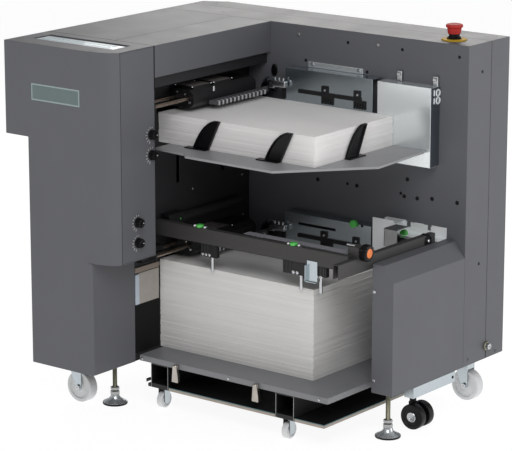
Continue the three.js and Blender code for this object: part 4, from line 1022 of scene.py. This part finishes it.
# Painted shade: a dark disc stands for the open hole.
set_down(dark_disc, [(559, 549.1, 414)], front, "slot_hole", "black_plastic")
for number, x, z in ((1, 640, 779), (2, 741, 777)):
    block = slab((x - 7, 578, z - 10), (x + 7, wall_y, z + 14), 2)
    catch = slab((x - 5, 574, z + 2), (x + 5, 579, z + 10), 1.4)
    settle([block, catch], f"wall_latch_{number}", "bright_steel")
ring_shape = spun([(5.4, 0), (8.2, 0), (9, 0.8), (9, 2.4), (8.2, 3.2), (6.2, 3.2), (5.4, 2.4)])
ring_places = [(749, 577, 754), (749, 577, 736)]
set_down(ring_shape, ring_places, right, "ring_screws", "bright_steel", finish=white_zinc)
ring_tabs = [((748.6, 561, z - 7), (751, 563.6, z + 7)) for z in (755, 736)]
fit("ring_screw_pins", "bright_steel", 0.8, ring_tabs, finish=white_zinc)

# %% [markdown]
# Beside the lower guide plate stand folded brackets of pale sheet, and a grey strip runs behind
# the front bar. The frame's corner block is held by a bolt, and its far end is a round black block.

# %% Lower guide frame
strip_grey = powder_coat("strip_grey", (150, 148, 154), (132, 131, 137), 0.4)
bar_strip = [((440, 246, 436.4), (734, 270, 437.6))]
fit("front_bar_strip", "galvanised", 0.4, bar_strip, finish=strip_grey)
fit("shelf_bracket", "galvanised", 0.4, [
    ((657, 500, 392), (659, 548, 434)), ((657, 500, 390), (694, 502, 434)),
    ((657, 500, 432), (694, 548, 434)),
], finish=dull_steel)
right_face = [((590, 548.6, 345), (652, 549.2, 441))]
fit("lower_right_face", "galvanised", 0.2, right_face, finish=white_zinc)
fit("lower_far_face", "galvanised", 0.3, [
    ((604, 584.6, 392), (751, 586.6, 422)), ((604, 584.6, 422), (660, 586.6, 437)),
    ((674, 584.6, 422), (722, 586.6, 434)), ((731, 584.6, 422), (751, 586.6, 431)),
], finish=white_zinc)
wedge = cut_plate([(0, 0), (52, 0), (52, 4), (30, 14), (0, 22)], 1.2, 0.3, (746, 549, 398), back)
settle(wedge, "far_wedge", "galvanised", finish=white_zinc)
skirt = [((188.6, 228, 399.6), (751.4, 229.6, 413.4)), ((188.6, 228, 399.6), (751.4, 240, 401))]
fit("front_bar_skirt", "black_steel", 0.4, skirt, finish=bar_coat)
settle(rod(3, 22, (732, 252, 457), right), "frame_block_bolt", "bright_steel")
end_block = spun([(0, 0), (14, 0), (16, 2), (16, 16), (14, 18), (0, 18)])
settle(stand(end_block, spot(751, 520, 416), right), "right_bar_end_block", "black_plastic")
set_down(wide_screw, [(769, 520, 416)], right, "right_bar_end_screw", "bright_steel")

# %% [markdown]
# The pile stops hang down to the lower pile. Their rods are polished, small screws and ribs show
# under each block, and a bent galvanised sheet joins the two right blocks.

# %% Pile stops
for side, rod_places, screw_places in (
    ("left", [355], [332, 342, 352]), ("right", [614, 669], [598, 609, 664, 676]),
):
    body = f"stop_{side}"
    rods = [rod(4, 38, (x, 238.2, 335.2), up) for x in rod_places]
    settle(rods, f"stop_rods_{side}", "bright_steel", body)
    places = [(x, 230, 375.5) for x in screw_places]
    set_down(wide_screw, places, front, f"stop_screws_{side}", "bright_steel", body)
fit("stop_sheet", "galvanised", 0.5, [
    ((638, 226.6, 362), (667, 228.6, 410)), ((638, 222, 360), (667, 228.6, 362)),
    ((638, 218, 362), (639.6, 228.6, 400)),
], "stop_right")
for side, places in (
    ("right", [(571, 372), (580, 372), (589, 372), (676, 378), (683, 378)]),
    ("left", [(330, 376), (339, 376), (348, 376)]),
):
    ribs = [((x, 228.6, z), (x + 1.2, 230.4, 409)) for x, z in places]
    fit(f"stop_ribs_{side}", "black_steel", 0.2, ribs, f"stop_{side}", bar_coat)

# %% [markdown]
# The lift table is folded from one sheet and screwed at the corners. Its two latches are cast
# levers with a round head, and the cart below shows the bright cut edges of its black sheet.

# %% Table latches and cart edges
table_y = corners("lift_table")[0].y
fold_screws = [(x, table_y, 114) for x in (205, 466, 726)]
set_down(small_screw, fold_screws, front, "table_screws", "bright_steel", "table")
latch_metal = drawn_metal("latch_metal", (206, 200, 192), (150, 143, 135), 0.24)
lever_outline = [(-9.5, -38), (9.5, -38), (9, -26)] + arc(6, 0, 180, 12, (-1, -2)) + [(-9, -26)]
for side in ("left", "right"):
    node = f"table_latch_{side}"
    low, high = corners(node)
    x = (low.x + high.x) / 2
    lever = cut_plate(lever_outline, 10, 1.6, (x, low.y + 8, high.z - 4))
    barrel = rod(4, 13, (x - 6.5, high.y - 4, high.z - 4), right)
    settle([lever, barrel], f"{node}_lever", "bright_steel", f"latch_{side}", latch_metal, [node])

rail_spans = ((232, 284), (603, 655))
edges = []
for rail_left, rail_right in rail_spans:
    for x in (rail_left, rail_right - 1.4):
        edges.append(((x, 157.4, 50), (x + 1, 158.2, 107)))
fit("cart_rail_edges", "galvanised", 0.2, edges, "cart", dull_steel)
teal_edge = moulded("coated_edge", (92, 126, 128), (74, 104, 108), 0.4)
lip_beige = moulded("bare_lip", (176, 166, 154), (152, 142, 132), 0.45)
fit("cart_lip", "galvanised", 0.2, [
    ((286, 157.2, 49), (601, 158.1, 55.4)), ((657, 157.2, 49), (740, 158.1, 55.4)),
    ((739.9, 158, 49), (740.8, 500, 55.4)),
], "cart", lip_beige)
fit("cart_lip_edge", "galvanised", 0.2, [
    ((286, 157.1, 55.4), (601, 158.2, 57.3)), ((657, 157.1, 55.4), (740, 158.2, 57.3)),
    ((739.8, 158, 55.4), (740.9, 500, 57.3)),
], "cart", teal_edge)
hook = [((206, 170, 60), (232, 184, 62)), ((206, 170, 54), (208, 184, 62))]
fit("cart_hook", "black_steel", 0.5, hook, "cart")
fork_outline = arc(9.2, 180, 360, 14, (0, 20)) + [(9.2, 51), (-9.2, 51)]
fork_skins = []
for rail_left, rail_right in rail_spans:
    middle_x = (rail_left + rail_right) / 2
    for axle_y in (174, 554.7):
        for skin_x in (middle_x - 10.2, middle_x + 9.4):
            fork_skins.append(cut_plate(fork_outline, 0.8, 0.2, (skin_x, axle_y, 0), back))
settle(fork_skins, "cart_fork_skins", "galvanised", "cart")

# %% [markdown]
# The end of the back unit is locked with a cam lock, and the rear and the left side are screwed
# on. The last small parts go down here, and then the shapes that were copied are removed.

# %% Lock and last screws
lock_place = spot(end_x, 681, 137)
settle(stand(hex_nut(11, 5, 7), lock_place, right), "cam_lock_nut", "bright_steel", finish=rod_zinc)
barrel = spun([(0, 0), (7.6, 0), (7.6, 12), (6.6, 13.4), (4.6, 13.4), (4, 12.6), (0, 12.6)])
settle(stand(barrel, lock_place, right), "cam_lock", "bright_steel")
# Painted shade: dark strips for the lock's key slot and the slit beside it, which lie in shadow.
key_slot = [((end_x + 12.4, 679, 136.4), (end_x + 12.9, 683, 137.6))]
fit("cam_lock_slot_shadow", "black_plastic", 0.1, key_slot)
fit("end_slit_shadow", "black_rubber", 0.1, [((end_x - 0.5, 683, 106), (end_x + 0.2, 685, 126))])
rear_screws = [(x, rear_y, z) for z in (846, 128) for x in (40, 420, 800)] + [(800, rear_y, 480)]
set_down(small_screw, rear_screws, back, "rear_screws", "black_steel")
side_screws = [(0, 180, 200), (0, 180, 560), (0, 420, 130), (0, 660, 200), (0, 660, 560)]
set_down(small_screw, side_screws, left, "side_screws", "black_steel")
low, high = corners("power_inlet")
inlet_x, inlet_z = (low.x + high.x) / 2, (low.z + high.z) / 2
pin_places = [(inlet_x - 7, inlet_z - 2), (inlet_x + 7, inlet_z - 2), (inlet_x, inlet_z + 3)]
pins = [((x - 1.2, low.y + 3, z - 2.4), (x + 1.2, high.y - 3, z + 2.4)) for x, z in pin_places]
fit("inlet_pins", "bright_steel", 0.3, pins)
# Painted shade: a dark disc stands for the open hole in the bracket.
set_down(dark_disc, [(end_x - 0.3, 545, 92)], right, "caster_bracket_hole", "black_plastic")
discard(small_screw, wide_screw, dark_disc, wide_dark_disc, green_screw, ring_shape)

# %% [markdown]
# In the photograph the paint is dark where it is seen squarely and bright where it is seen at a
# flat angle, so most of its light is reflected from a white room. The floor is therefore a pale
# light table, one lamp stands behind for the tops, one at the right for the end, and one in
# front opens the shadows.

# %% Floor and light
floor_size = 60
floor = begin(bpy.ops.mesh.primitive_plane_add, size=floor_size, location=(0, 0, 0))
floor.name = "floor"
pale_floor = Finish("pale_floor", specular=0.1)
pale_floor.shader.inputs["Emission Color"].default_value = (1, 1, 1, 1)
pale_floor.shader.inputs["Emission Strength"].default_value = 0.92
floor_tone = pale_floor.mix(pale_floor.noise(2, 3), (106, 106, 106), (110, 110, 110))
floor.data.materials.append(pale_floor.wear(floor_tone, 0.7))


def soft_lamp(name, way, distance, size, power, colour):
    """A round lamp that looks at the machine's middle from a direction."""
    lamp = bpy.data.objects.new(name, bpy.data.lights.new(name, "AREA"))
    bpy.context.scene.collection.objects.link(lamp)
    lamp.data.shape = "DISK"
    lamp.data.size = size
    lamp.data.energy = power
    lamp.data.color = colour
    ray = Vector(way).normalized()
    lamp.location = Vector((0, 0, 0.6)) + ray * distance
    lamp.rotation_euler = ray.to_track_quat("Z", "Y").to_euler()


warm_white = (1, 0.985, 0.955)
cool_white = (0.97, 0.975, 1)
soft_lamp("behind", (-0.45, 0.82, 0.36), 3.6, 2.6, 46, warm_white)
soft_lamp("beside", (0.85, 0.5, 0.12), 3.6, 2.4, 22, cool_white)
soft_lamp("before", (0.5, -0.6, 0.6), 4.0, 2.4, 58, cool_white)

sky = bpy.data.worlds.new("studio")
sky.use_nodes = True
sky.node_tree.nodes["Background"].inputs["Color"].default_value = (1, 1, 1, 1)
sky.node_tree.nodes["Background"].inputs["Strength"].default_value = 0.3
bpy.context.scene.world = sky
bpy.context.scene.view_settings.view_transform = "Standard"
